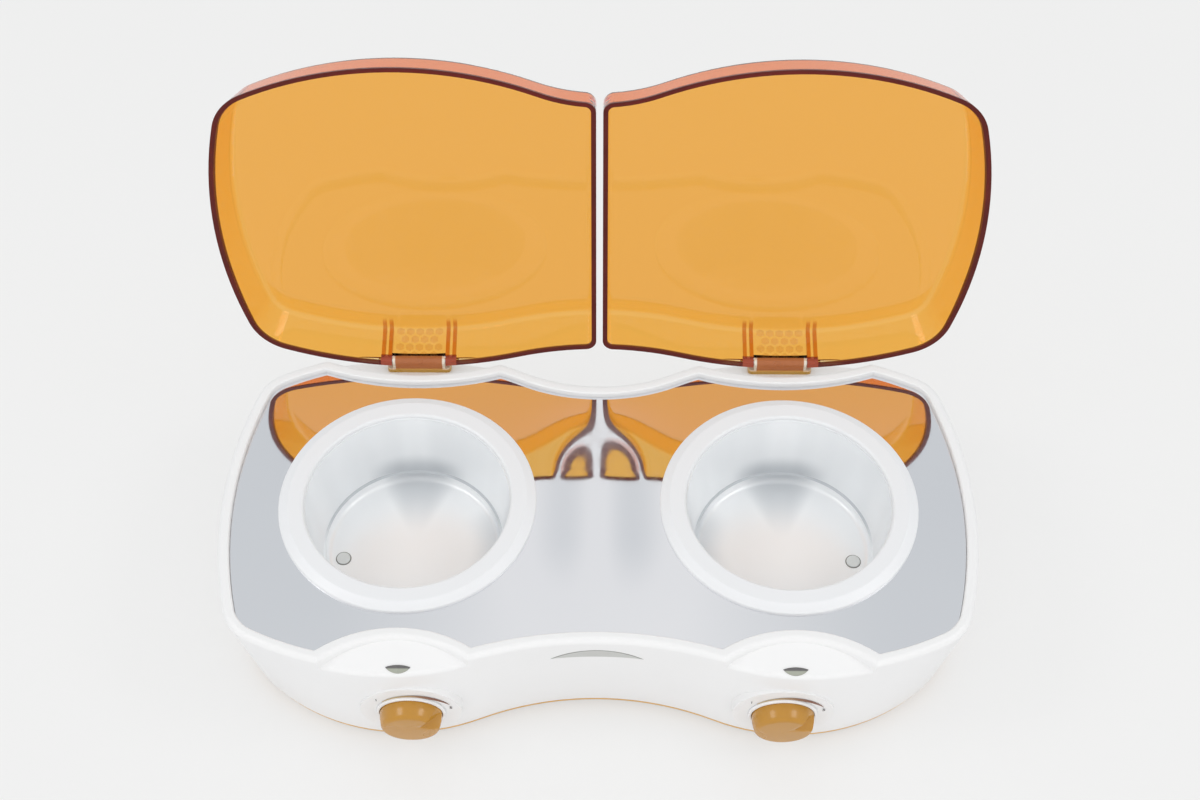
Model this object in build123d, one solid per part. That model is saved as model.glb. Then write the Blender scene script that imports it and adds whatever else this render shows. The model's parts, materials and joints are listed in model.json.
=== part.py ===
from build123d import *
import os
from math import atan, cos, degrees, hypot, radians, sin, sqrt, tan

# Double wax warmer: a two-well tabletop heater with one thermostat knob for each well
# and two hinged see-through lids, modelled with both lids standing open.
# X runs to the right as seen from the front, Y to the back and Z up.
# The pieces are laid out with the line through both wells at Y = 0 and the table at Z = 0,
# and the whole model is moved along Y at the end, so that the origin lies on the table
# below the centre of its overall box.

# Driving dimensions, in millimetres and degrees
WELL_PITCH = 190.0        # distance between the centres of the two wells
FOOT_DROP = 2.0           # how far the feet stand below the base tray
TRAY_EDGE = 4.0           # height of the tray's coloured edge below the housing
HOUSING_HEIGHT = 70.0     # housing's lower edge to the face of the deck plate
RIM_RISE = 3.2            # crest of the rim above the face of the deck plate
RIM_WIDTH = 6.0           # width of the rim round the deck plate
WALL = 2.4                # moulded walls
TRAY_FLOOR = 2.2          # thickness of the tray's floor
DECK_SHEET = 1.0          # thickness of the polished deck plate
FRAME_THICKNESS = 2.4     # sheet of the frame that carries the deck plate and the wells
LEDGE_WIDTH = 3.0         # ledge inside the rim that the frame lies on
LEDGE_THICKNESS = 2.0
SLIP = 0.2                # gap round pieces that drop into a seat
THROUGH = 12.0            # length of a cut that goes right through a wall or sheet

# Plan outline of the housing at its crest and at its lower edge, and of the lids' lips.
# Each lobe lists its waist and its furthest point from the well line, where that point
# lies along X, the radius of the bulge and the radius of the corner beside it.
HALF_WIDTH = 187.8
LOBE_INSET = 87.8         # tips of the crest in from its sides, along X
LOBE_X = round(HALF_WIDTH - LOBE_INSET, 3)
CREST = {
    "half_width": HALF_WIDTH, "side_radius": 230.0, "side_y": -4.0,
    "front": {"waist": 81.0, "tip": 96.0, "x": LOBE_X, "radius": 150.0, "corner": 24.0},
    "back": {"waist": 72.7, "tip": 95.0, "x": LOBE_X, "radius": 145.0, "corner": 20.0},
}
SIDE_DRAFT = 6.8          # footprint in from the crest
FRONT_WAIST_DRAFT = 10.0
FRONT_TIP_DRAFT = 5.5
BACK_WAIST_DRAFT = 6.7
BACK_TIP_DRAFT = 6.0
FOOTPRINT_X_INSET = 3.0   # tips of the footprint nearer to the middle
FOOTPRINT = {
    "half_width": HALF_WIDTH - SIDE_DRAFT, "side_radius": 230.0, "side_y": -4.0,
    "front": {
        "waist": CREST["front"]["waist"] - FRONT_WAIST_DRAFT,
        "tip": CREST["front"]["tip"] - FRONT_TIP_DRAFT,
        "x": LOBE_X - FOOTPRINT_X_INSET, "radius": 100.0, "corner": 45.0,
    },
    "back": {
        "waist": CREST["back"]["waist"] - BACK_WAIST_DRAFT,
        "tip": CREST["back"]["tip"] - BACK_TIP_DRAFT,
        "x": LOBE_X - FOOTPRINT_X_INSET, "radius": 100.0, "corner": 45.0,
    },
}
LIP_SIDE_OVERHANG = 1.2   # lids' lips out from the crest
LIP_FRONT_OVERHANG = 2.0
LIP_FRONT_WAIST_INSET = 2.0
LIP_BACK_WAIST_OVERHANG = 1.8
LIP_BACK_INSET = 7.6      # leaves room for the hinge blocks on the back facets
LIP_X_INSET = 5.0         # tips of the lips nearer to the middle
LIP = {
    "half_width": HALF_WIDTH + LIP_SIDE_OVERHANG, "side_radius": 230.0, "side_y": -8.0,
    "front": {
        "waist": CREST["front"]["waist"] - LIP_FRONT_WAIST_INSET,
        "tip": CREST["front"]["tip"] + LIP_FRONT_OVERHANG,
        "x": LOBE_X - LIP_X_INSET, "radius": 174.0, "corner": 26.0,
    },
    "back": {
        "waist": CREST["back"]["waist"] + LIP_BACK_WAIST_OVERHANG,
        "tip": CREST["back"]["tip"] - LIP_BACK_INSET,
        "x": LOBE_X - LIP_X_INSET, "radius": 200.0, "corner": 27.0,
    },
}

# Sloping facets outside the rim, in front for lifting a lid and behind for its hinge:
# where the rim's round edge has its centre along X, how near it comes to the well line,
# its radius, and the facet's slope and its height beside the rim below the deck's face.
FRONT_FACET_DEPTH = 16.6
BACK_FACET_DEPTH = 15.2
FRONT_FACET_X_INSET = 5.3
BACK_FACET_X_INSET = 5.0
FRONT_FACET = {
    "x": LOBE_X - FRONT_FACET_X_INSET,
    "reach": CREST["front"]["tip"] - FRONT_FACET_DEPTH, "radius": 57.6, "side": -1,
}
BACK_FACET = {
    "x": LOBE_X - BACK_FACET_X_INSET,
    "reach": CREST["back"]["tip"] - BACK_FACET_DEPTH, "radius": 139.0, "side": 1,
}
FACET_SLOPE = 20.0
FACET_HEIGHT = 0.8

# Wells
WELL_RADIUS = 50.9        # inside the mouth
WELL_FOOT_RADIUS = 46.0   # inside, where the taper ends
WELL_TAPER_DEPTH = 37.5
WELL_STEP = 0.9           # step in from the taper to the flat-bottomed dish
WELL_DEPTH = 43.0
WELL_WALL = 1.2
WELL_FLANGE_RADIUS = 57.0
WELL_ROOM = 2.0           # frame's opening clear of the pot
RING_INNER_RADIUS = 51.3
RING_CREASE_RADIUS = 59.5
RING_OUTER_RADIUS = 64.2
RING_RISE = 3.6
RING_EDGE_RISE = 1.6
RING_MOUTH_FILLET = 1.4
RING_CREASE_FILLET = 1.5
RING_EDGE_FILLET = 0.8
RING_BOSS_CIRCLE = 60.8   # radius on which the ring's three screw bosses stand
RING_BOSS_RADIUS = 2.3
SENSOR_OFFSET = (36.0, -6.0)  # outward and forward from the well's centre
SENSOR_HEAD_RADIUS = 3.5
SENSOR_RISE = 0.8
SENSOR_EDGE = 0.48
SENSOR_STEM_RADIUS = 1.8
SENSOR_STEM_LENGTH = 7.0

# Heaters under the wells
STUD_RADIUS = 2.0
STUD_LENGTH = 11.0
STUD_ROOT = 0.5           # stud's end inside the pot's floor
WELL_FLOOR_FILLET = 3.0
HEATER_RADIUS = 30.0
HEATER_THICKNESS = 3.0
HEATER_CHAMFER = 0.6
CLAMP_RADIUS = 24.0
CLAMP_THICKNESS = 1.0
CLAMP_HOLES = 6
CLAMP_HOLE_CIRCLE = 17.3
CLAMP_HOLE_RADIUS = 3.4
NUT_HEIGHT = 3.2
NUT_ACROSS_FLATS = 7.0
FUSE_RADIUS = 2.0
FUSE_LENGTH = 11.0
FUSE_OFFSET = 13.0
FUSE_LEAD_RADIUS = 0.6
FUSE_LEAD = 5.0           # bare lead at each end

# Knobs and thermostats
KNOB_X = LOBE_X - 9.5
KNOB_DROP = 44.0          # knob's axis below the deck's face, where it meets the dial
KNOB_TILT = 5.0           # axis below the horizontal, about square to the front wall
KNOB_BACK_RADIUS = 15.2
KNOB_FACE_RADIUS = 14.0
KNOB_LENGTH = 10.6
KNOB_GAP = 0.8            # knob's rim clear of the dial
KNOB_EDGE = 1.2
KNOB_WALL = 2.2
NOTCH_ANGLE = 40.0        # pointer notch, from the horizontal, in the photographed setting
NOTCH_SPREAD = 52.0
NOTCH_START = 6.4         # point of the notch from the knob's axis
NOTCH_WALL = 1.2
KNOB_HUB_WALL = 2.0
DIAL_RADIUS = 24.8
DIAL_PROUD = 0.3
BUSH_RADIUS = 4.8
SHAFT_RADIUS = 3.0
SHAFT_FLAT = 0.8          # depth of the flat along the shaft
RUNNING_FIT = 0.06
SHAFT_END_PLAY = 0.4
SEAT_RADIUS = 10.0        # flat seat for the thermostat behind the dial
SEAT_THICKNESS = 1.6
THERMOSTAT_RADIUS = 16.0
THERMOSTAT_DEPTH = 17.0
THERMOSTAT_COLLAR = 4.0
THERMOSTAT_EDGE = 1.0
SHAFT_FLOOR = 4.0         # floor of the shaft's bore above the thermostat's back
TAB_OFFSET = 7.0
TAB_WIDTH = 6.3
TAB_THICKNESS = 0.8
TAB_LENGTH = 6.5
THERMOSTAT_NUT_HEIGHT = 2.4
THERMOSTAT_NUT_FLATS = 14.0

# Indicators in the front facets
INDICATOR_X = LOBE_X - 6.2
INDICATOR_INSET = 4.6     # both tips of the lens in from the housing's front
INDICATOR_WIDTH = 12.0
INDICATOR_BACK = 1.1      # bulge of the lens behind its tips
INDICATOR_FRONT = 3.0     # bulge of the lens in front of its tips
LENS_PROUD = 0.3
LENS_UNDERCUT = 0.3       # lens above the underside of the facet
LENS_SLIP = 0.05
LAMP_RADIUS = 2.0
LAMP_LENGTH = 9.0
LAMP_OFFSET = 2.0         # lamp's axis behind the tips of the lens
LAMP_HOLDER_WALL = 1.2

# Bare plate on the front of the waist
PLATE_CHORD = 45.0
PLATE_HEIGHT = 8.0
PLATE_THICKNESS = 0.8
PLATE_DROP = 15.0         # plate's straight lower edge below the deck's face

# Lids and hinges
LID_OPEN = 99.0           # angle between the closed lid and the photographed one
LIP_RISE = 3.8            # closed lip above the deck's face
LID_HEIGHT = 21.0
LID_INSET = 7.5           # how far the lid's sides lean in from lip to crown
LID_WALL = 2.4
LID_GAP = 3.3             # between the two lids
LID_CROWN_RADIUS = 5.0
LID_CORNER_RADIUS = 5.5
PIN_RISE = 2.4            # pin's axis above the closed lip
PIN_INSET = 2.0           # pin's axis in from the lip's back edge
PIN_RADIUS = 1.3
PIN_CHAMFER = 0.3
PIN_OVERHANG = 1.6        # each end of the pin beyond the lid's knuckles
KNUCKLE_RADIUS = 2.4
HINGE_X = LOBE_X - 5.6     # middle of each hinge along X
EAR_PITCH = 33.4          # between the centres of a lid's two knuckles
EAR_WIDTH = 5.4
EAR_RIB = 1.9
EAR_RIB_DEPTH = 3.0
HINGE_PLAY = 0.4          # sideways between lid knuckles and hinge block
STOP_GAP = 0.3            # lid's notch from the block's back, standing open
BLOCK_BASE_WIDTH = 33.0
BLOCK_BASE_FRONT = 3.0    # base in front of the pin's axis
BLOCK_BASE_BACK = 5.0
BLOCK_BASE_GAP = 3.8      # top of the base below the pin's axis
BLOCK_CORNER_RADIUS = 2.0
BLOCK_EDGE_RADIUS = 0.8
HINGE_SCREW_LENGTH = 5.4

# Base, feet and fasteners
TRAY_INSET = 1.0
TRAY_CHAMFER = 0.8
FOOT_CHAMFER = 0.8
FOOT_RADIUS = 8.0
FOOT_SEAT = 1.2
FOOT_INSET = 47.8         # feet in from the crest's sides
FOOT_SPOTS = (
    (CREST["half_width"] - FOOT_INSET, -48.0), (CREST["half_width"] - FOOT_INSET, 52.0),
)
BASE_SCREW_INSET = 25.8   # outer base screws in from the crest's sides
BASE_SCREW_SPOTS = (
    (0.0, -55.0), (0.0, 52.0),
    (CREST["half_width"] - BASE_SCREW_INSET, -34.0),
    (CREST["half_width"] - BASE_SCREW_INSET, 34.0),
)
BASE_SCREW_LENGTH = 11.0
BASE_SCREW_HOLE = 14.0    # depth of the hole up into a boss
RING_SCREW_LENGTH = 4.4
RING_SCREW_HOLE = 5.0
SCREW_RADIUS = 1.4
SCREW_HEAD_RADIUS = 3.2
SCREW_HEAD_HEIGHT = 1.2
SCREW_CROSS = 0.8         # width of the cross recess
BASE_HEAD_SEAT = 1.2      # depth of the seats for the base screws' heads
BOSS_RADIUS = 3.6
RIM_OUTER_FILLET = 2.7
RIM_INNER_FILLET = 0.9
CUSP_RADIUS = 1.5         # corners of the deck plate beside the facets
FRONT_EDGE_FILLET = 2.5    # where the front facets meet the wall
BACK_EDGE_FILLET = 4.0
VENT_COUNT = 7
VENT_LENGTH = 34.0
VENT_WIDTH = 3.0
VENT_PITCH = 8.0
CORD_HOLE_RADIUS = 3.3
CORD_GLAND_RADIUS = 6.0
CORD_GLAND_FLANGE = 1.8
CORD_GLAND_LEDGE = 2.0
CORD_GLAND_CHAMFER = 0.6
CORD_GLAND_HEIGHT = 18.0
TERMINAL_SIZE = (36.0, 16.0, 14.0)
TERMINAL_EDGE = 1.0
TERMINAL_Y = 32.0
TERMINAL_STAND = 4.0      # bosses that lift the terminal block off the floor
TERMINAL_HOLE_PITCH = 26.0
TERMINAL_SCREW_SHORT = 1.0   # screws' ends above the tray's floor
TERMINAL_CLAMP = 4.0      # thickness left below the screws' heads
TERMINAL_ROW = 4.5        # wire clamps from the middle of the block
TERMINAL_CLAMP_RADIUS = 2.2
TERMINAL_CLAMP_DEPTH = 3.0
LOOM_RADIUS = 1.4
LOOM_BEND = 4.0
LOOM_HEIGHT = 11.0
LOOM_X = 50.0             # where the wires run forward between the two wells
LOOM_Y = -56.0            # where they run across below the thermostat
HEATER_LEAD_Y = -27.0     # where a lead meets the heater plate

# Worked-out heights
TRAY_BOTTOM = FOOT_DROP
HOUSING_BOTTOM = TRAY_BOTTOM + TRAY_EDGE
DECK = HOUSING_BOTTOM + HOUSING_HEIGHT
CREST_Z = DECK + RIM_RISE
WEB_TOP = DECK - DECK_SHEET
WEB_BOTTOM = WEB_TOP - FRAME_THICKNESS
LEDGE_BOTTOM = WEB_BOTTOM - LEDGE_THICKNESS
INDICATOR_Y = CREST["front"]["tip"] - INDICATOR_INSET
BEYOND = 2 * HALF_WIDTH   # reaches past the whole body
LIP_Z = DECK + LIP_RISE
PIN_Y = LIP["back"]["tip"] - PIN_INSET
PIN_Z = LIP_Z + PIN_RISE
WELL_X = WELL_PITCH / 2
FACET_WEB = WALL * cos(radians(FACET_SLOPE))
LID_LEAN = LID_INSET / LID_HEIGHT
SEAT_DEPTH = DIAL_PROUD + WALL + SEAT_THICKNESS
SIDES = {"left": -1, "right": 1}
NEAR = 0.01               # edges this close to a height or radius are on it


# Plan outlines
def lobe_circles(plan, name):
    """Centre, radius and bulge (1 outward, -1 inward) of the waist, bulge and corner."""
    lobe = plan[name]
    sign = -1 if name == "front" else 1
    depth = lobe["tip"] - lobe["waist"]
    waist_radius = (lobe["x"] ** 2 + depth**2) / (2 * depth) - lobe["radius"]
    waist = ((0.0, sign * (lobe["waist"] + waist_radius)), waist_radius, -1)
    bulge = ((lobe["x"], sign * (lobe["tip"] - lobe["radius"])), lobe["radius"], 1)
    side = side_circle(plan)
    (ax, ay), (bx, by) = bulge[0], side[0]
    near, far = bulge[1] - lobe["corner"], side[1] - lobe["corner"]
    span = hypot(bx - ax, by - ay)
    along = (near**2 - far**2 + span**2) / (2 * span)
    across = sqrt(near**2 - along**2)
    ux, uy = (bx - ax) / span, (by - ay) / span
    centres = [
        (ax + along * ux - k * across * uy, ay + along * uy + k * across * ux) for k in (-1, 1)
    ]
    corner = (max(centres), lobe["corner"], 1)
    return [waist, bulge, corner]


def side_circle(plan):
    """Large circle that the outline's side follows."""
    return ((plan["half_width"] - plan["side_radius"], plan["side_y"]), plan["side_radius"], 1)


def touch_point(first, second, grow):
    """Point where two circles of a grown outline touch."""
    (c1, r1, b1), (c2, r2, b2) = first, second
    if b1 == b2 and r1 < r2:
        (c1, r1, b1), (c2, r2, b2) = (c2, r2, b2), (c1, r1, b1)
    dx, dy = c2[0] - c1[0], c2[1] - c1[1]
    reach = (r1 + b1 * grow) / hypot(dx, dy)
    return (c1[0] + dx * reach, c1[1] + dy * reach)


def outline(plan, grow, z):
    """Closed face inside a plan outline that is moved outward by grow, at height z."""
    back = lobe_circles(plan, "back")
    half = lobe_circles(plan, "front") + [side_circle(plan)] + back[::-1]
    points = [touch_point(a, b, grow) for a, b in zip(half, half[1:])]
    arcs = []
    for circle, start, end in zip(half[1:-1], points, points[1:]):
        arcs.append((start, arc_middle(circle, start, end, grow), end))
    front_waist, back_waist = half[0], half[-1]
    front_top = (0.0, front_waist[0][1] + front_waist[1] - grow)
    back_top = (0.0, back_waist[0][1] - back_waist[1] + grow)
    mirrored = [tuple((-x, y) for x, y in reversed(arc)) for arc in reversed(arcs)]
    loop = [(mirrored[-1][-1], front_top, points[0])] + arcs
    loop += [(points[-1], back_top, mirrored[0][0])] + mirrored
    edges = [ThreePointArc(*[(x, y, z) for x, y in arc]) for arc in loop]
    return make_face(Wire(edges))


def arc_middle(circle, start, end, grow):
    """Middle point of the arc from start to end on a circle of a grown outline."""
    (cx, cy), radius, bulge = circle
    mx, my = (start[0] + end[0]) / 2 - cx, (start[1] + end[1]) / 2 - cy
    reach = (radius + bulge * grow) / hypot(mx, my)
    return (cx + mx * reach, cy + my * reach)


# Small helpers
def side_of(name):
    """-1 for a name on the left, 1 on the right."""
    return SIDES[name]


def disc(radius, height, place, axis=(0, 0, 1)):
    """Cylinder that starts at place and runs along axis."""
    plane = Plane(origin=place, z_dir=axis)
    return plane * Cylinder(radius, height, align=(Align.CENTER, Align.CENTER, Align.MIN))


def hexagon(flats, height, place, axis=(0, 0, 1)):
    """Hexagonal prism that starts at place and runs along axis."""
    plane = Plane(origin=place, z_dir=axis)
    return plane * extrude(RegularPolygon(flats / sqrt(3), 6), height)


def block(x, y, z):
    """Box between pairs of X, Y and Z values."""
    size = [high - low for low, high in (x, y, z)]
    centre = [(high + low) / 2 for low, high in (x, y, z)]
    return Pos(*centre) * Box(*size)


def level_edges(shape, z):
    """Edges of shape that lie at height z."""
    boxes = [(edge, edge.bounding_box()) for edge in shape.edges()]
    level = [e for e, box in boxes if abs(box.min.Z - z) < NEAR and abs(box.max.Z - z) < NEAR]
    return ShapeList(level)


def group(shapes):
    """Separate solids that are kept in one node."""
    return Compound([solid for shape in shapes for solid in shape.solids()])


def screw(place, axis, length):
    """Pan-headed screw whose head stands on place, its shank running along axis."""
    direction = Vector(*axis)
    head = disc(SCREW_HEAD_RADIUS, SCREW_HEAD_HEIGHT, place, direction * -1)
    slot_plane = Plane(origin=Vector(*place) - direction * SCREW_HEAD_HEIGHT, z_dir=direction)
    span, depth = SCREW_HEAD_RADIUS * 1.2, SCREW_HEAD_HEIGHT
    cross = Box(span, SCREW_CROSS, depth) + Box(SCREW_CROSS, span, depth)
    return head - slot_plane * cross + disc(SCREW_RADIUS, length, place, direction)


# Facets outside the rim
def facet_space(facet, lowered=0.0, widened=0.0):
    """Everything above one facet and outside the rim, for both wells."""
    side = facet["side"]
    slope = tan(radians(FACET_SLOPE))
    centre_y = side * (facet["reach"] + facet["radius"])
    reach = facet["reach"] - widened
    top = CREST_Z + THROUGH
    inner, outer = -WELL_RADIUS / 2, WELL_RADIUS
    height = DECK + FACET_HEIGHT - lowered
    wedge = Plane.YZ * make_face(
        Polyline(
            (side * (facet["reach"] + inner), height - inner * slope),
            (side * (facet["reach"] + outer), height - outer * slope),
            (side * (facet["reach"] + outer), top),
            (side * (facet["reach"] + inner), top),
            close=True,
        )
    )
    wedge = extrude(wedge, BEYOND, both=True)
    radius = facet["radius"] + widened
    spaces = [
        disc(radius, top, (k * facet["x"], centre_y, 0)) & wedge for k in SIDES.values()
    ]
    return spaces[0] + spaces[1]


def facet_height(facet, distance):
    """Height of a facet at a distance from the well line."""
    return DECK + FACET_HEIGHT - (distance - facet["reach"]) * tan(radians(FACET_SLOPE))


# Front wall, its dials and its plate
TAPER_HEIGHT = CREST_Z - HOUSING_BOTTOM


def wall_distance(drop):
    """Front bulge's distance from the well line, at a drop below the deck's face."""
    share = (DECK - drop - HOUSING_BOTTOM) / TAPER_HEIGHT
    top, bottom = CREST["front"]["tip"], FOOTPRINT["front"]["tip"]
    return bottom + (top - bottom) * share


def shell_form(grow, bottom=HOUSING_BOTTOM, top=CREST_Z):
    """Tapering body between the footprint and the crest outline."""
    return loft([outline(FOOTPRINT, grow, bottom), outline(CREST, grow, top)], ruled=True)


def knob_axis():
    """Direction in which the knobs point."""
    tilt = radians(KNOB_TILT)
    return Vector(0, -cos(tilt), -sin(tilt))


def dial_point(side, out=0.0):
    """Point on a knob's axis, out from the dial's face."""
    face = Vector(side * KNOB_X, -(wall_distance(KNOB_DROP) + DIAL_PROUD), DECK - KNOB_DROP)
    return face + knob_axis() * out


def plate_prism():
    """Prism along Y with the outline of the plate on the waist."""
    low = DECK - PLATE_DROP
    half = PLATE_CHORD / 2
    edge = CREST["front"]["waist"] + THROUGH
    arc = ThreePointArc((-half, -edge, low), (0, -edge, low + PLATE_HEIGHT), (half, -edge, low))
    face = make_face([arc, Line((half, -edge, low), (-half, -edge, low))])
    return extrude(face, 3 * THROUGH, dir=(0, 1, 0))


def lens_outline(grow=0.0):
    """Pointed lens shape of the indicator in its facet's plane."""
    half = INDICATOR_WIDTH / 2 + grow
    front = ThreePointArc((-half, 0), (0, -INDICATOR_FRONT - grow), (half, 0))
    back = ThreePointArc((half, 0), (0, INDICATOR_BACK + grow), (-half, 0))
    return make_face([front, back])


def lens_plane(side, below=0.0):
    """Plane of the front facet with its origin at the indicator."""
    slope = radians(FACET_SLOPE)
    normal = Vector(0, -sin(slope), cos(slope))
    at = Vector(side * INDICATOR_X, -INDICATOR_Y, facet_height(FRONT_FACET, INDICATOR_Y))
    return Plane(origin=at - normal * below, x_dir=(1, 0, 0), z_dir=normal)


# Places of repeated pieces
def mirrored_spots(spots):
    """Spots on both sides, once for those on the centre line."""
    result = []
    for x, y in spots:
        result += [(x, y)] if x == 0 else [(-x, y), (x, y)]
    return result


def ring_boss_spots(side):
    """Centres of the three bosses under one well's ring."""
    angles = [radians(90 + 120 * k) for k in range(3)]
    return [
        (side * WELL_X + RING_BOSS_CIRCLE * cos(a), RING_BOSS_CIRCLE * sin(a)) for a in angles
    ]


def facet_normal(facet):
    slope = radians(FACET_SLOPE)
    return Vector(0, facet["side"] * sin(slope), cos(slope))


def hinge_screw_seats(side):
    """Points under the back facet from which screws go up into a hinge block."""
    y = PIN_Y + (BLOCK_BASE_BACK - BLOCK_BASE_FRONT) / 2
    inward = facet_normal(BACK_FACET) * -FACET_WEB
    surface = facet_height(BACK_FACET, y)
    places = [Vector(side * (HINGE_X + k * BLOCK_BASE_WIDTH / 4), y, surface) for k in (-1, 1)]
    return [place + inward for place in places]


def sensor_spot(side):
    return (side * (WELL_X + SENSOR_OFFSET[0]), SENSOR_OFFSET[1])


# Housing
def outer_body():
    """Solid body with its facets and rounded edges."""
    body = shell_form(0) - facet_space(FRONT_FACET) - facet_space(BACK_FACET)
    for y, radius in ((-1, FRONT_EDGE_FILLET), (1, BACK_EDGE_FILLET)):
        meeting = [
            e for e in body.edges().filter_by(GeomType.BSPLINE)
            if e.bounding_box().max.Z < DECK and e.bounding_box().min.Z > HOUSING_BOTTOM + WALL
            and e.center().Y * y > 0
        ]
        body = fillet(meeting, radius)
    return fillet(level_edges(body, CREST_Z), RIM_OUTER_FILLET)


def cavity():
    """Space inside the housing's walls, below the rim and the webs under the facets."""
    space = shell_form(-WALL) & block((-BEYOND, BEYOND), (-BEYOND, BEYOND), (0, WEB_BOTTOM))
    for facet in (FRONT_FACET, BACK_FACET):
        space -= facet_space(facet, lowered=WALL, widened=WALL)
    return space


def ledge():
    """Ledge round the inside of the rim, below the deck frame."""
    outer = deck_shape(RIM_WIDTH - WALL, LEDGE_BOTTOM, WEB_BOTTOM)
    return outer - deck_shape(-LEDGE_WIDTH, LEDGE_BOTTOM, WEB_BOTTOM)


def upper_housing():
    body = outer_body() - deck_shape(0.0, WEB_BOTTOM, CREST_Z + 1)
    rim = body.faces().filter_by(Axis.Z).sort_by(Axis.Z)[-1]
    body = fillet(rim.inner_wires()[0].edges(), RIM_INNER_FILLET)
    axis = knob_axis()
    for k in SIDES.values():
        body += disc(DIAL_RADIUS, THROUGH, dial_point(k, -THROUGH), axis)
    body = body - cavity() + ledge()
    for k in SIDES.values():
        body += disc(SEAT_RADIUS, SEAT_DEPTH, dial_point(k, -SEAT_DEPTH), axis)
        body -= disc(BUSH_RADIUS, 2 * THROUGH, dial_point(k, -THROUGH), axis)
        for place in hinge_screw_seats(k):
            normal = facet_normal(BACK_FACET)
            body -= disc(SCREW_RADIUS, HINGE_SCREW_LENGTH, place, normal)
            body -= disc(SCREW_HEAD_RADIUS + SLIP, 2 * SCREW_HEAD_HEIGHT, place, normal * -1)
        body -= lens_plane(k, FACET_WEB) * extrude(lens_outline(), THROUGH)
    gland = (0, back_wall_y(CORD_GLAND_HEIGHT) + WALL, CORD_GLAND_HEIGHT)
    body -= disc(CORD_GLAND_RADIUS, 4 * WALL, gland, (0, -1, 0))
    return body - (plate_prism() - shell_form(-PLATE_THICKNESS))


def deck_frame():
    """Sheet on the housing's ledge, with the well openings and the base screws' bosses."""
    frame = deck_shape(-SLIP, WEB_BOTTOM, WEB_TOP)
    for x, y in mirrored_spots(BASE_SCREW_SPOTS):
        frame += disc(BOSS_RADIUS, WEB_TOP - tray_floor_top(), (x, y, tray_floor_top()))
        frame -= disc(SCREW_RADIUS, BASE_SCREW_HOLE, (x, y, tray_floor_top()))
    for k in SIDES.values():
        frame -= disc(WELL_RADIUS + WELL_WALL + WELL_ROOM, THROUGH, (k * WELL_X, 0, LEDGE_BOTTOM))
        for x, y in ring_boss_spots(k):
            frame -= disc(RING_BOSS_RADIUS + SLIP, THROUGH, (x, y, LEDGE_BOTTOM))
    return frame


def deck_shape(grow, low, high):
    """Prism with the deck plate's outline, between two heights."""
    shape = extrude(outline(CREST, grow - RIM_WIDTH, low), high - low)
    for facet in (FRONT_FACET, BACK_FACET):
        centre_y = facet["side"] * (facet["reach"] + facet["radius"])
        radius = facet["radius"] + RIM_WIDTH - grow
        for k in SIDES.values():
            shape -= disc(radius, high, (k * facet["x"], centre_y, low / 2))
            cusps = [
                e for e in shape.edges().filter_by(Axis.Z)
                if abs(hypot(e.center().X - k * facet["x"], e.center().Y - centre_y) - radius) < NEAR
            ]
            shape = fillet(cusps, CUSP_RADIUS)
    return shape


def deck_plate():
    plate = deck_shape(-SLIP, WEB_TOP, DECK)
    for k in SIDES.values():
        hole = WELL_RADIUS + WELL_WALL + SLIP
        plate -= disc(hole, THROUGH, (k * WELL_X, 0, LEDGE_BOTTOM))
        for x, y in ring_boss_spots(k):
            plate -= disc(RING_BOSS_RADIUS + SLIP, THROUGH, (x, y, LEDGE_BOTTOM))
    return plate


def front_plate():
    return plate_prism() & (shell_form(0) - shell_form(-PLATE_THICKNESS))


# Base tray, feet and inlet
def tray_floor_top():
    return TRAY_BOTTOM + TRAY_FLOOR


def base_tray():
    height = HOUSING_BOTTOM - TRAY_BOTTOM
    tray = extrude(outline(FOOTPRINT, -TRAY_INSET, TRAY_BOTTOM), height + TRAY_EDGE)
    rabbet = extrude(outline(FOOTPRINT, TRAY_EDGE, HOUSING_BOTTOM), TRAY_EDGE)
    tray -= rabbet - extrude(outline(FOOTPRINT, -WALL - SLIP, HOUSING_BOTTOM), TRAY_EDGE)
    tray -= extrude(outline(FOOTPRINT, -2 * WALL - SLIP, tray_floor_top()), 2 * height)
    tray = chamfer(tray.faces().sort_by(Axis.Z)[0].outer_wire().edges(), TRAY_CHAMFER)
    for x, y in mirrored_spots(BASE_SCREW_SPOTS):
        tray -= disc(SCREW_RADIUS, 2 * height, (x, y, 0))
        tray -= disc(SCREW_HEAD_RADIUS + SLIP, BASE_HEAD_SEAT, (x, y, TRAY_BOTTOM))
    for x, y in mirrored_spots(FOOT_SPOTS):
        tray -= disc(FOOT_RADIUS, FOOT_SEAT, (x, y, TRAY_BOTTOM))
    slot = extrude(SlotOverall(VENT_LENGTH, VENT_WIDTH), 2 * height)
    for k in SIDES.values():
        for n in range(VENT_COUNT):
            tray -= Pos(k * WELL_X, (n - (VENT_COUNT - 1) / 2) * VENT_PITCH, 0) * slot
    for x in terminal_hole_spots():
        tray += disc(BOSS_RADIUS, TERMINAL_STAND, (x, TERMINAL_Y, tray_floor_top()))
        tray -= disc(SCREW_RADIUS, TERMINAL_STAND, (x, TERMINAL_Y, tray_floor_top()))
    return tray


def terminal_hole_spots():
    return (-TERMINAL_HOLE_PITCH / 2, TERMINAL_HOLE_PITCH / 2)


def rubber_feet():
    feet = []
    for x, y in mirrored_spots(FOOT_SPOTS):
        foot = disc(FOOT_RADIUS, FOOT_DROP + FOOT_SEAT, (x, y, 0))
        feet.append(chamfer(foot.faces().sort_by(Axis.Z)[0].edges(), FOOT_CHAMFER))
    return group(feet)


def base_screws():
    spots = mirrored_spots(BASE_SCREW_SPOTS)
    seat = TRAY_BOTTOM + BASE_HEAD_SEAT
    return group([screw((x, y, seat), (0, 0, 1), BASE_SCREW_LENGTH) for x, y in spots])


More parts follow.
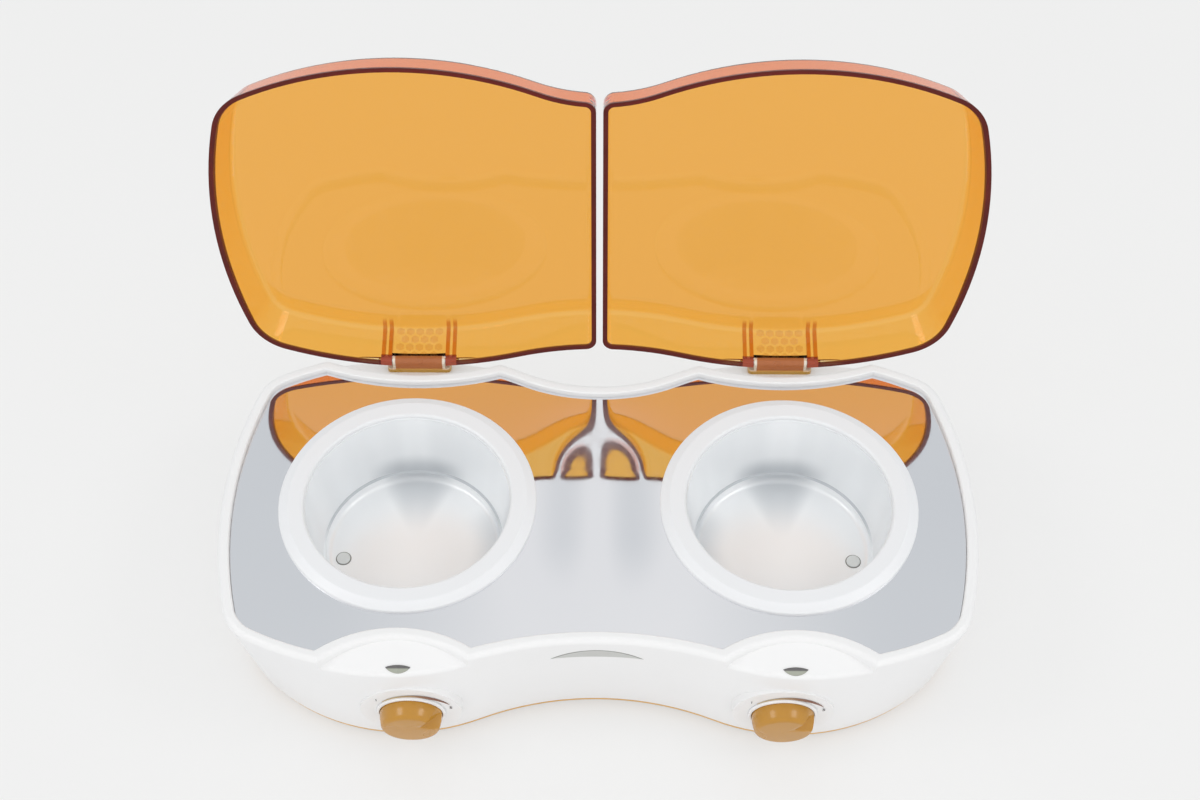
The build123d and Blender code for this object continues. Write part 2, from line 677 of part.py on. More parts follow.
# Wells
def well_profile(outward):
    """Points of the pot's inside, or of its outside when moved outward by its wall."""
    floor = -WELL_DEPTH - outward
    taper = -WELL_TAPER_DEPTH - outward / 2
    foot = WELL_FOOT_RADIUS + outward
    return [
        (WELL_RADIUS + outward, 0),
        (foot, taper),
        (foot - WELL_STEP, taper - WELL_STEP),
        (foot - WELL_STEP, floor),
        (0, floor),
    ]


def well_pot(name):
    side = side_of(name)
    outside = well_profile(WELL_WALL)
    inside = well_profile(0)
    section = Polyline(
        *[(r, z) for r, z in outside], *[(r, z) for r, z in reversed(inside)], close=True
    )
    section = make_face(section)
    flange = make_face(
        Polyline(
            (WELL_RADIUS, 0),
            (WELL_FLANGE_RADIUS, 0),
            (WELL_FLANGE_RADIUS, WELL_WALL),
            (WELL_RADIUS, WELL_WALL),
            close=True,
        )
    )
    pot = revolve(Plane.XZ * section + Plane.XZ * flange, Axis.Z)
    floor = pot.faces().filter_by(Axis.Z).sort_by(SortBy.AREA)[-2:].sort_by(Axis.Z)[-1]
    pot = fillet(floor.outer_wire().edges(), WELL_FLOOR_FILLET)
    stud_end = -WELL_DEPTH - WELL_WALL - STUD_LENGTH
    pot += disc(STUD_RADIUS, STUD_LENGTH + STUD_ROOT, (0, 0, stud_end))
    x, y = SENSOR_OFFSET
    pot -= disc(SENSOR_STEM_RADIUS, -stud_end, (side * x, y, stud_end))
    return Pos(side * WELL_X, 0, DECK) * pot


def well_ring(name):
    side = side_of(name)
    under = WELL_WALL
    section = make_face(
        Polyline(
            (RING_INNER_RADIUS, under),
            (RING_INNER_RADIUS, RING_RISE),
            (RING_CREASE_RADIUS, RING_RISE),
            (RING_OUTER_RADIUS, RING_EDGE_RISE),
            (RING_OUTER_RADIUS, 0),
            (WELL_FLANGE_RADIUS + SLIP, 0),
            (WELL_FLANGE_RADIUS + SLIP, under),
            close=True,
        )
    )
    ring = revolve(Plane.XZ * section, Axis.Z)
    for radius, height, size in (
        (RING_INNER_RADIUS, RING_RISE, RING_MOUTH_FILLET),
        (RING_CREASE_RADIUS, RING_RISE, RING_CREASE_FILLET),
        (RING_OUTER_RADIUS, RING_EDGE_RISE, RING_EDGE_FILLET),
    ):
        circles = level_edges(ring, height).filter_by(GeomType.CIRCLE)
        ring = fillet([e for e in circles if abs(e.radius - radius) < NEAR], size)
    ring = Pos(side * WELL_X, 0, DECK) * ring
    for x, y in ring_boss_spots(side):
        ring += disc(RING_BOSS_RADIUS, DECK + WELL_WALL - WEB_BOTTOM, (x, y, WEB_BOTTOM))
        ring -= disc(SCREW_RADIUS, RING_SCREW_HOLE, (x, y, WEB_BOTTOM))
    return ring


def ring_screws():
    spots = [spot for k in SIDES.values() for spot in ring_boss_spots(k)]
    return group([screw((x, y, WEB_BOTTOM), (0, 0, 1), RING_SCREW_LENGTH) for x, y in spots])


def sensor_button(name):
    x, y = sensor_spot(side_of(name))
    floor = DECK - WELL_DEPTH
    head = disc(SENSOR_HEAD_RADIUS, SENSOR_RISE, (x, y, floor))
    head = fillet(head.faces().sort_by(Axis.Z)[-1].edges(), SENSOR_EDGE)
    stem = SENSOR_STEM_LENGTH
    return head + disc(SENSOR_STEM_RADIUS, stem, (x, y, floor - stem))


def sensor_nut(name):
    x, y = sensor_spot(side_of(name))
    top = DECK - WELL_DEPTH - WELL_WALL
    nut = hexagon(NUT_ACROSS_FLATS, NUT_HEIGHT, (x, y, top - NUT_HEIGHT))
    return nut - disc(SENSOR_STEM_RADIUS, 2 * THROUGH, (x, y, top - THROUGH))


def under_well(depth=0.0):
    """Height below a pot's floor."""
    return DECK - WELL_DEPTH - WELL_WALL - depth


def heater_plate(name):
    x = side_of(name) * WELL_X
    place = (x, 0, under_well(HEATER_THICKNESS))
    plate = disc(HEATER_RADIUS, HEATER_THICKNESS, place)
    plate = chamfer(plate.faces().sort_by(Axis.Z)[0].edges(), HEATER_CHAMFER)
    return plate - disc(STUD_RADIUS + SLIP, THROUGH, (x, 0, under_well(THROUGH)))


def heater_clamp(name):
    x = side_of(name) * WELL_X
    low = under_well(HEATER_THICKNESS + CLAMP_THICKNESS)
    clamp = disc(CLAMP_RADIUS, CLAMP_THICKNESS, (x, 0, low))
    for n in range(CLAMP_HOLES):
        a = radians((n + 0.5) * 360 / CLAMP_HOLES)
        dx, dy = CLAMP_HOLE_CIRCLE * cos(a), CLAMP_HOLE_CIRCLE * sin(a)
        clamp -= disc(CLAMP_HOLE_RADIUS, THROUGH, (x + dx, dy, under_well(THROUGH)))
    return clamp - disc(STUD_RADIUS, THROUGH, (x, 0, under_well(THROUGH)))


def clamp_nut(name):
    x = side_of(name) * WELL_X
    low = under_well(HEATER_THICKNESS + CLAMP_THICKNESS + NUT_HEIGHT)
    nut = hexagon(NUT_ACROSS_FLATS, NUT_HEIGHT, (x, 0, low))
    return nut - disc(STUD_RADIUS, THROUGH, (x, 0, under_well(THROUGH)))


def thermal_fuse(name):
    x = side_of(name) * WELL_X
    z = under_well(HEATER_THICKNESS + CLAMP_THICKNESS) - FUSE_RADIUS
    start = (x - FUSE_LENGTH / 2, FUSE_OFFSET, z)
    fuse = disc(FUSE_RADIUS, FUSE_LENGTH, start, (1, 0, 0))
    lead = (x - FUSE_LENGTH / 2 - FUSE_LEAD, FUSE_OFFSET, z)
    return fuse + disc(FUSE_LEAD_RADIUS, FUSE_LENGTH + 2 * FUSE_LEAD, lead, (1, 0, 0))


# Thermostats and knobs
def thermostat(name):
    side = side_of(name)
    axis = knob_axis()
    depth = SEAT_DEPTH + THERMOSTAT_COLLAR + THERMOSTAT_DEPTH
    back = dial_point(side, -depth)
    body = disc(THERMOSTAT_RADIUS, THERMOSTAT_DEPTH, back, axis)
    body = fillet(body.edges(), THERMOSTAT_EDGE)
    body += disc(SEAT_RADIUS - THERMOSTAT_EDGE, depth - SEAT_DEPTH, back, axis)
    body += disc(BUSH_RADIUS, depth + THERMOSTAT_NUT_HEIGHT, back, axis)
    body -= disc(SHAFT_RADIUS + RUNNING_FIT, 2 * depth, back + axis * SHAFT_FLOOR, axis)
    plane = Plane(origin=back, x_dir=(1, 0, 0), z_dir=axis)
    for x in (-TAB_OFFSET, TAB_OFFSET):
        body += plane * Pos(x, 0, -TAB_LENGTH / 2) * Box(TAB_WIDTH, TAB_THICKNESS, TAB_LENGTH)
    return body


def tab_end(side, x):
    """Middle of the free end of a thermostat's terminal tab."""
    out = SEAT_DEPTH + THERMOSTAT_COLLAR + THERMOSTAT_DEPTH + TAB_LENGTH + SLIP
    return dial_point(side, -out) + Vector(x, 0, 0)


def thermostat_nut(name):
    place = dial_point(side_of(name))
    axis = knob_axis()
    nut = hexagon(THERMOSTAT_NUT_FLATS, THERMOSTAT_NUT_HEIGHT, place, axis)
    return nut - disc(BUSH_RADIUS, 2 * THROUGH, place - axis * THROUGH, axis)


def d_bar(side, start, end):
    """Round bar with a flat along it, between two distances out from the dial."""
    length = end - start
    bar = Cylinder(SHAFT_RADIUS, length, align=(Align.CENTER, Align.CENTER, Align.MIN))
    flat = Pos(0, SHAFT_RADIUS, length / 2) * Box(4 * SHAFT_RADIUS, 2 * SHAFT_FLAT, 2 * length)
    plane = Plane(origin=dial_point(side, start), x_dir=(1, 0, 0), z_dir=knob_axis())
    return plane * (bar - flat)


def shaft_end():
    """Tip of the shaft, and floor of the knob's bore, out from the dial."""
    return KNOB_GAP + KNOB_LENGTH - KNOB_WALL


def thermostat_shaft(name):
    side = side_of(name)
    depth = SEAT_DEPTH + THERMOSTAT_COLLAR + THERMOSTAT_DEPTH
    start = SHAFT_FLOOR + SHAFT_END_PLAY - depth
    neck = THERMOSTAT_NUT_HEIGHT + SHAFT_END_PLAY
    bar = disc(SHAFT_RADIUS, neck - start, dial_point(side, start), knob_axis())
    return bar + d_bar(side, neck, shaft_end())


def notch_wedge(grow, low, high):
    """Pointer notch, moved outward by grow, between two heights above the knob's back."""
    spread = radians(NOTCH_SPREAD / 2)
    far = 2 * KNOB_BACK_RADIUS
    tip = NOTCH_START - grow / sin(spread)
    reach, rise = tip + far, far * tan(spread)
    wedge = make_face(Polyline((tip, 0), (reach, rise), (reach, -rise), close=True))
    return Rot(0, 0, NOTCH_ANGLE) * Pos(0, 0, low) * extrude(wedge, high - low)


def knob(name):
    base = (Align.CENTER, Align.CENTER, Align.MIN)
    body = Cone(KNOB_BACK_RADIUS, KNOB_FACE_RADIUS, KNOB_LENGTH, align=base)
    body = fillet(body.faces().sort_by(Axis.Z)[-1].edges(), KNOB_EDGE)
    ceiling = KNOB_LENGTH - KNOB_WALL
    bore_radius = KNOB_FACE_RADIUS - KNOB_WALL
    body -= Cylinder(bore_radius, ceiling, align=base)
    hub_low = THERMOSTAT_NUT_HEIGHT + 2 * SHAFT_END_PLAY - KNOB_GAP
    hub = Cylinder(SHAFT_RADIUS + KNOB_HUB_WALL, ceiling - hub_low, align=base)
    body += Pos(0, 0, hub_low) * hub
    lining = notch_wedge(NOTCH_WALL, hub_low, ceiling) & Cylinder(bore_radius, 3 * ceiling)
    body += lining
    body -= notch_wedge(0, -KNOB_GAP, KNOB_LENGTH + KNOB_GAP)
    side = side_of(name)
    plane = Plane(origin=dial_point(side, KNOB_GAP), x_dir=(1, 0, 0), z_dir=knob_axis())
    return plane * body - d_bar(side, 0, shaft_end())


# Indicators
def indicator_lens(name):
    depth = FACET_WEB - LENS_UNDERCUT
    plane = lens_plane(side_of(name), depth)
    return plane * extrude(lens_outline(-LENS_SLIP), depth + LENS_PROUD)


def lamp_bar(name, radius, length):
    """Bar down from the underside of the facet along the lamp's axis."""
    bar = Pos(0, LAMP_OFFSET, 0) * Cylinder(
        radius, length, align=(Align.CENTER, Align.CENTER, Align.MAX))
    return lens_plane(side_of(name), FACET_WEB) * bar


def lamp_holder(name):
    """Sleeve that holds the lamp under the facet, beside the lens."""
    sleeve = lamp_bar(name, LAMP_RADIUS + LAMP_HOLDER_WALL, LAMP_LENGTH + LAMP_HOLDER_WALL)
    return sleeve - lamp_bar(name, LAMP_RADIUS, LAMP_LENGTH)


def indicator_lamp(name):
    return lamp_bar(name, LAMP_RADIUS, LAMP_LENGTH)


# Lids and hinges
def lid_form(inward):
    """Closed right-hand lid's outer form, or the same moved inward on every side."""
    height = LID_HEIGHT - inward
    form = extrude(outline(LIP, -inward, LIP_Z), height, taper=degrees(atan(LID_LEAN)))
    inner_side = LID_GAP / 2 + inward
    form &= block((inner_side, BEYOND), (-BEYOND, BEYOND), (LIP_Z, LIP_Z + LID_HEIGHT))
    corners = [
        e for e in form.edges()
        if abs(e.center().X - inner_side) < 1 and e.bounding_box().size.Z > height - 1
    ]
    form = fillet(corners, LID_CORNER_RADIUS - inward)
    return fillet(form.faces().sort_by(Axis.Z)[-1].edges(), LID_CROWN_RADIUS - inward)


def rib_zone():
    """Side view of a knuckle's ribs: from the pin up along the skirt to the crown."""
    front = PIN_Y - EAR_RIB_DEPTH
    back = PIN_Y + KNUCKLE_RADIUS
    crown = LIP_Z + LID_HEIGHT
    top = front - LID_LEAN * (crown - PIN_Z)
    side = Polyline((front, PIN_Z), (back, PIN_Z), (back, crown), (top, crown), close=True)
    return extrude(Plane.YZ * make_face(side), 2 * CREST["half_width"], both=True)


def closed_lid():
    """Right-hand lid, closed."""
    shape = lid_form(0) - lid_form(LID_WALL)
    half = (EAR_PITCH - EAR_WIDTH) / 2
    stop = (KNUCKLE_RADIUS + STOP_GAP) / cos(radians(LID_OPEN - 90))
    notch_depth = (PIN_Y - 3 * KNUCKLE_RADIUS, PIN_Y + 3 * KNUCKLE_RADIUS)
    shape -= block((HINGE_X - half, HINGE_X + half), notch_depth, (DECK, PIN_Z + stop))
    rib_space = rib_zone() & lid_form(LID_WALL / 2)
    for k in (-1, 1):
        low = HINGE_X + k * EAR_PITCH / 2 - EAR_WIDTH / 2
        shape += disc(KNUCKLE_RADIUS, EAR_WIDTH, (low, PIN_Y, PIN_Z), (1, 0, 0))
        for start in (low, low + EAR_WIDTH - EAR_RIB):
            shape += rib_space & block((start, start + EAR_RIB), (0, BEYOND), (0, BEYOND))
    bore_start = (HINGE_X - EAR_PITCH, PIN_Y, PIN_Z)
    return shape - disc(PIN_RADIUS + RUNNING_FIT, 2 * EAR_PITCH, bore_start, (1, 0, 0))


def lid(name):
    shape = closed_lid()
    if name == "left":
        shape = shape.mirror(Plane.YZ)
    return shape.rotate(Axis((0, PIN_Y, PIN_Z), (1, 0, 0)), -LID_OPEN)


def hinge_block(name):
    x = side_of(name) * HINGE_X
    half = (EAR_PITCH - EAR_WIDTH) / 2 - HINGE_PLAY
    low = DECK - THROUGH
    arm_y = (PIN_Y - KNUCKLE_RADIUS, PIN_Y + KNUCKLE_RADIUS)
    arm = block((x - half, x + half), arm_y, (low, PIN_Z))
    arm += disc(KNUCKLE_RADIUS, 2 * half, (x - half, PIN_Y, PIN_Z), (1, 0, 0))
    wide = BLOCK_BASE_WIDTH / 2
    base_y = (PIN_Y - BLOCK_BASE_FRONT, PIN_Y + BLOCK_BASE_BACK)
    base = block((x - wide, x + wide), base_y, (low, PIN_Z - BLOCK_BASE_GAP))
    base = fillet(base.edges().filter_by(Axis.Z), BLOCK_CORNER_RADIUS)
    base = fillet(base.faces().sort_by(Axis.Z)[-1].edges(), BLOCK_EDGE_RADIUS)
    shape = (arm + base) & facet_space(BACK_FACET)
    shape -= disc(PIN_RADIUS, 4 * half, (x - 2 * half, PIN_Y, PIN_Z), (1, 0, 0))
    for seat in hinge_screw_seats(side_of(name)):
        shape -= disc(SCREW_RADIUS, HINGE_SCREW_LENGTH, seat, facet_normal(BACK_FACET))
    return shape


def hinge_pin(name):
    x = side_of(name) * HINGE_X
    half = (EAR_PITCH + EAR_WIDTH) / 2 + PIN_OVERHANG
    pin = disc(PIN_RADIUS, 2 * half, (x - half, PIN_Y, PIN_Z), (1, 0, 0))
    return chamfer(pin.edges().filter_by(GeomType.CIRCLE), PIN_CHAMFER)


def hinge_screws():
    normal = facet_normal(BACK_FACET)
    seats = [seat for k in SIDES.values() for seat in hinge_screw_seats(k)]
    return group([screw(seat, normal, HINGE_SCREW_LENGTH) for seat in seats])


# Mains inlet, terminal block and wiring
def back_wall_y(z):
    """Back waist's distance from the well line at a height."""
    share = (z - HOUSING_BOTTOM) / TAPER_HEIGHT
    top, bottom = CREST["back"]["waist"], FOOTPRINT["back"]["waist"]
    return bottom + (top - bottom) * share


def cord_gland():
    outside = back_wall_y(CORD_GLAND_HEIGHT) + CORD_GLAND_FLANGE
    start = (0, outside, CORD_GLAND_HEIGHT)
    inward = (0, -1, 0)
    flange_radius = CORD_GLAND_RADIUS + CORD_GLAND_LEDGE
    flange = disc(flange_radius, 2 * CORD_GLAND_FLANGE, start, inward)
    flange = chamfer(flange.faces().sort_by(Axis.Y)[-1].edges(), CORD_GLAND_CHAMFER)
    sleeve = disc(CORD_GLAND_RADIUS, CORD_GLAND_FLANGE + 2 * WALL, start, inward)
    return flange - shell_form(0) + sleeve - disc(CORD_HOLE_RADIUS, THROUGH, start, inward)


def terminal_block():
    wide, deep, high = TERMINAL_SIZE
    low = tray_floor_top() + TERMINAL_STAND
    body = block(
        (-wide / 2, wide / 2), (TERMINAL_Y - deep / 2, TERMINAL_Y + deep / 2), (low, low + high))
    body = fillet(body.edges().filter_by(Axis.Z), TERMINAL_EDGE)
    for x in terminal_hole_spots():
        body -= disc(SCREW_RADIUS, 2 * high, (x, TERMINAL_Y, low - TERMINAL_STAND))
        body -= disc(SCREW_HEAD_RADIUS + SLIP, high, (x, TERMINAL_Y, low + TERMINAL_CLAMP))
    for x in (-TERMINAL_ROW, TERMINAL_ROW):
        for y in (TERMINAL_Y - TERMINAL_ROW, TERMINAL_Y + TERMINAL_ROW):
            place = (x, y, low + high - TERMINAL_CLAMP_DEPTH)
            body -= disc(TERMINAL_CLAMP_RADIUS, TERMINAL_CLAMP_DEPTH, place)
    return body


def terminal_screws():
    seat = tray_floor_top() + TERMINAL_STAND + TERMINAL_CLAMP
    length = TERMINAL_STAND + TERMINAL_CLAMP - TERMINAL_SCREW_SHORT
    places = [(x, TERMINAL_Y, seat) for x in terminal_hole_spots()]
    return group([screw(place, (0, 0, -1), length) for place in places])


def wire(points):
    """Round wire along a line whose corners are rounded."""
    path = FilletPolyline(*points, radius=LOOM_BEND)
    start = path @ 0
    return sweep(Plane(origin=start, z_dir=path % 0) * Circle(LOOM_RADIUS), path)


def wire_loom(name):
    """Feed from the terminal block to a thermostat and on from there to its heater."""
    side = side_of(name)
    z = LOOM_HEIGHT
    feed = tab_end(side, -side * TAB_OFFSET)
    feed_points = [
        (side * TERMINAL_SIZE[0] / 2, TERMINAL_Y, z),
        (side * LOOM_X, TERMINAL_Y, z),
        (side * LOOM_X, LOOM_Y, z),
        (feed.X, LOOM_Y, z),
        (feed.X, LOOM_Y, feed.Z),
        (feed.X, feed.Y, feed.Z),
    ]
    lead = tab_end(side, side * TAB_OFFSET)
    lead_points = [
        (lead.X, lead.Y, lead.Z),
        (lead.X, LOOM_Y + LOOM_BEND, lead.Z),
        (lead.X, LOOM_Y + LOOM_BEND, z + LOOM_BEND),
        (lead.X, HEATER_LEAD_Y, z + LOOM_BEND),
        (lead.X, HEATER_LEAD_Y, under_well(HEATER_THICKNESS)),
    ]
    return group([wire(feed_points), wire(lead_points)])


def build_nodes():
    """Every sub-part by its node's name."""
    nodes = {
        "upper_housing": upper_housing(),
        "deck_frame": deck_frame(),
        "base_tray": base_tray(),
        "deck_plate": deck_plate(),
        "front_plate": front_plate(),
        "rubber_feet": rubber_feet(),
        "base_screws": base_screws(),
        "ring_screws": ring_screws(),
        "hinge_screws": hinge_screws(),
        "cord_gland": cord_gland(),
        "terminal_block": terminal_block(),
        "terminal_screws": terminal_screws(),
    }
    pairs = (well_pot, well_ring, sensor_button, sensor_nut, heater_plate, heater_clamp,
             clamp_nut, thermal_fuse, thermostat, thermostat_nut, thermostat_shaft, knob,
             indicator_lens, indicator_lamp, lamp_holder, lid, hinge_block, hinge_pin,
             wire_loom)
    for make in pairs:
        for name in SIDES:
            nodes[f"{make.__name__}_{name}"] = make(name)
    return nodes


os.makedirs("parts", exist_ok=True)
model = build_nodes()
boxes = [shape.bounding_box() for shape in model.values()]
middle = (min(box.min.Y for box in boxes) + max(box.max.Y for box in boxes)) / 2
print(f"well line at Y = {-middle:.3f}, pin axis at Y = {PIN_Y - middle:.3f}, Z = {PIN_Z:.3f}")
for node, shape in model.items():
    export_step(Pos(0, -middle, 0) * shape, f"parts/{node}.step")
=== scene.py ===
import json
import math

import bmesh
import bpy
from mathutils import Matrix, Vector


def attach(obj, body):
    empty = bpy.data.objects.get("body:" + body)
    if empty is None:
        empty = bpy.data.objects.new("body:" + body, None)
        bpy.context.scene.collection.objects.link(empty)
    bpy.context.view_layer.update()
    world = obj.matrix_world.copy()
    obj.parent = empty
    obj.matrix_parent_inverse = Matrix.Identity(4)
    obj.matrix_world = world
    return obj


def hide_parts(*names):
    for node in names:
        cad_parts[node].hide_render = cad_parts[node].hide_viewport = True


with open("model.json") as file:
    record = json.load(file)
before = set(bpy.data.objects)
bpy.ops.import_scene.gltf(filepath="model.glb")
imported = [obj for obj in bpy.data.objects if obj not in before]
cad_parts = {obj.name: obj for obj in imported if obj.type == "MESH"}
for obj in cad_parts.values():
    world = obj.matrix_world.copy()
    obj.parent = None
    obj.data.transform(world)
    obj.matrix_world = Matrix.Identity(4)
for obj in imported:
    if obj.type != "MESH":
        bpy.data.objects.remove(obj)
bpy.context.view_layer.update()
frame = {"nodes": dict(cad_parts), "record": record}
nodes = frame["nodes"]


# Lengths are in millimetres in the row's frame, and MM makes metres of them. Only the
# table, the lamps and the camera's distances are written in metres.
MM = 0.001
SIDES = ((-1, "left"), (1, "right"))


def mm(*values):
    """A point given in millimetres, as a vector in metres."""
    return Vector([value * MM for value in values])


# Shader helpers


NOISE_RANGE = (0.3, 0.7)


class Graph:
    """Adds and joins the shader nodes of one tree."""

    def __init__(self, tree):
        self.tree = tree
        tree.nodes.clear()

    def add(self, kind, values=None, **settings):
        node = self.tree.nodes.new(kind)
        for name, setting in settings.items():
            setattr(node, name, setting)
        for name, value in (values or {}).items():
            self.put(node.inputs[name], value)
        return node

    def put(self, socket, value):
        if isinstance(value, bpy.types.NodeSocket):
            self.tree.links.new(value, socket)
        else:
            socket.default_value = value

    def maths(self, operation, *values):
        node = self.add("ShaderNodeMath", operation=operation)
        for index, value in enumerate(values):
            self.put(node.inputs[index], value)
        return node.outputs[0]

    def plus(self, first, second):
        return self.maths("ADD", first, second)

    def minus(self, first, second):
        return self.maths("SUBTRACT", first, second)

    def times(self, first, second):
        return self.maths("MULTIPLY", first, second)

    def larger(self, first, second):
        return self.maths("MAXIMUM", first, second)

    def blend(self, amount, first, second):
        """A colour between two colours."""
        node = self.add("ShaderNodeMix", data_type="RGBA")
        self.put(node.inputs["Factor"], amount)
        self.put(node.inputs["A"], first)
        self.put(node.inputs["B"], second)
        return node.outputs["Result"]

    def spread(self, value, low, high, out_low=0.0, out_high=1.0):
        """Goes smoothly from out_low to out_high as the value goes from low to high."""
        node = self.add("ShaderNodeMapRange", interpolation_type="SMOOTHSTEP")
        for name, item in (
            ("Value", value),
            ("From Min", low),
            ("From Max", high),
            ("To Min", out_low),
            ("To Max", out_high),
        ):
            self.put(node.inputs[name], item)
        return node.outputs["Result"]

    def spread_mm(self, value, low, high, out_low=0.0, out_high=1.0):
        """The same for a place in metres, with low and high in millimetres."""
        return self.spread(value, low * MM, high * MM, out_low, out_high)

    def vary(self, noise, low, high):
        """A number that follows a noise from low to high."""
        return self.spread(noise, *NOISE_RANGE, low, high)

    def place(self):
        return self.add("ShaderNodeTexCoord").outputs["Object"]

    def axis(self, vector, name):
        return self.add("ShaderNodeSeparateXYZ", {"Vector": vector}).outputs[name]

    def noise(self, scale, detail=2.0, roughness=0.5, vector=None):
        return self.add(
            "ShaderNodeTexNoise",
            {
                "Vector": vector or self.place(),
                "Scale": scale,
                "Detail": detail,
                "Roughness": roughness,
            },
        ).outputs["Fac"]

    def bump(self, height, strength, distance):
        values = {"Height": height, "Strength": strength, "Distance": distance}
        return self.add("ShaderNodeBump", values).outputs["Normal"]

    def principled(self, values):
        return self.add("ShaderNodeBsdfPrincipled", values).outputs[0]

    def transparent(self, colour):
        return self.add("ShaderNodeBsdfTransparent", {"Color": colour}).outputs[0]

    def mix(self, amount, first, second=None):
        """A shader between two shaders, or between the first and none."""
        node = self.add("ShaderNodeMixShader", {"Fac": amount})
        self.put(node.inputs[1], first)
        if second is not None:
            self.put(node.inputs[2], second)
        return node.outputs[0]

    def either_ray(self, *kinds):
        """1 for a ray of either kind, and 0 for any other."""
        path = self.add("ShaderNodeLightPath")
        return self.larger(*[path.outputs[kind] for kind in kinds])


def rgb(red, green, blue):
    """A colour as it reads on screen, 0 to 255, as linear numbers."""
    def straight(value):
        value /= 255
        return value / 12.92 if value <= 0.04045 else ((value + 0.055) / 1.055) ** 2.4

    return (straight(red), straight(green), straight(blue), 1.0)


def new_material(name):
    made = bpy.data.materials.new(name)
    made.use_nodes = True
    return made, Graph(made.node_tree)


def surface(graph, shader, volume=None):
    out = graph.add("ShaderNodeOutputMaterial")
    graph.put(out.inputs["Surface"], shader)
    if volume is not None:
        graph.put(out.inputs["Volume"], volume)


# Materials


def plastic(name, colour, second, rough, coat=0.0):
    """Moulded plastic: a soft gloss that varies a little, and a faint mottling."""
    made, graph = new_material(name)
    cloud = graph.noise(35.0, 3.0)
    shader = graph.principled(
        {
            "Base Color": graph.blend(cloud, colour, second),
            "Roughness": graph.vary(graph.noise(24.0), rough * 0.9, rough * 1.1),
            "Coat Weight": coat,
            "Coat Roughness": 0.08,
            "Normal": graph.bump(graph.noise(18.0, 1.0), 0.1, 0.4 * MM),
        }
    )
    surface(graph, shader)
    return made


def metal(name, colour, second, rough):
    """Bare or plated metal with a faint cloud in its tone and its gloss."""
    made, graph = new_material(name)
    cloud = graph.noise(50.0, 3.0)
    shader = graph.principled(
        {
            "Base Color": graph.blend(cloud, colour, second),
            "Metallic": 1.0,
            "Roughness": graph.vary(cloud, rough * 0.8, rough * 1.2),
            "Normal": graph.bump(graph.noise(600.0, 2.0), 0.05, 0.05 * MM),
        }
    )
    surface(graph, shader)
    return made


# Deck: the height of its fine waves, the Y where its crown starts to fall, the way over
# which that slope grows and how steep it gets, and the slope to the sides at SIDE_REACH.
# The valley is a bell across. It starts at the Y of VALLEY_BACK, is deepest from
# VALLEY_FRONT on and fades from VALLEY_FADE to VALLEY_END.
DECK_TONES = ((0.83, 0.84, 0.87, 1), (0.87, 0.88, 0.90, 1))
DECK_RIPPLE = 0.12
CROWN_BACK = 55.0
CROWN_REACH = 52.0
CROWN_SLOPE = 0.05
SIDE_REACH = 155.0
SIDE_SLOPE = 0.02
VALLEY_HALF_WIDTH = 19.0
VALLEY_DEPTH = 2.6
VALLEY_BACK = 58.0
VALLEY_FRONT = 8.0
VALLEY_FADE = -30.0
VALLEY_END = -98.0


def polished_deck():
    """Polished sheet, a mirror that isn't flat.

    It is crowned from front to back and a little from side to side, with a shallow valley
    between the wells that deepens to the front, so the lids' reflections bend and end early.
    """
    made, graph = new_material("polished_deck")
    place = graph.place()
    across = graph.axis(place, "X")
    along = graph.axis(place, "Y")
    wave = graph.noise(14.0, 1.0, 0.3)

    reach = CROWN_REACH * MM
    fall = graph.minus(CROWN_BACK * MM, along)
    curved = graph.maths("MINIMUM", graph.larger(fall, 0.0), reach)
    curved = graph.times(graph.maths("POWER", curved, 2.0), -CROWN_SLOPE / (2 * reach))
    straight = graph.larger(graph.minus(fall, reach), 0.0)
    crown = graph.minus(curved, graph.times(straight, CROWN_SLOPE))

    square = graph.times(across, across)
    side = graph.times(square, -SIDE_SLOPE / (2 * SIDE_REACH * MM))
    bell = graph.maths("EXPONENT", graph.times(square, -0.5 / (VALLEY_HALF_WIDTH * MM) ** 2))
    depth = graph.spread_mm(along, VALLEY_BACK, VALLEY_FRONT, 0.0, -VALLEY_DEPTH * MM)
    depth = graph.times(depth, graph.spread_mm(along, VALLEY_END, VALLEY_FADE))
    valley = graph.times(bell, depth)

    height = graph.plus(graph.plus(crown, side), valley)
    height = graph.plus(height, graph.times(wave, DECK_RIPPLE * MM))
    shader = graph.principled(
        {
            "Base Color": graph.blend(wave, *DECK_TONES),
            "Metallic": 1.0,
            "Roughness": graph.vary(graph.noise(260.0), 0.03, 0.05),
            "Normal": graph.bump(height, 1.0, 1.0),
        }
    )
    surface(graph, shader)
    return made


# Wells: their axis, and the height of the step round their floor. Their darker marks are
# painted reflections: a wedge at the back of the floor, the floor's outer edge, the foot of
# the back wall, rays round the axis, the wall's front half and a dark line at the step.
# WELL_TONES are the bare metal and the darkest painted reflection. A TURN is a range of
# the cosine of the angle from straight back, or from straight out for the floor's edge.
# A REACH is from the axis, RISE, BELOW and ABOVE are from the step up, and a DARK is how
# much darker the tone gets.
WELL_X = 95.0
WELL_Y = -12.778
STEP_Z = 38.5
WELL_TONES = ((0.97, 0.985, 0.995, 1), (0.50, 0.53, 0.56, 1))
WELL_METALLIC = 0.18
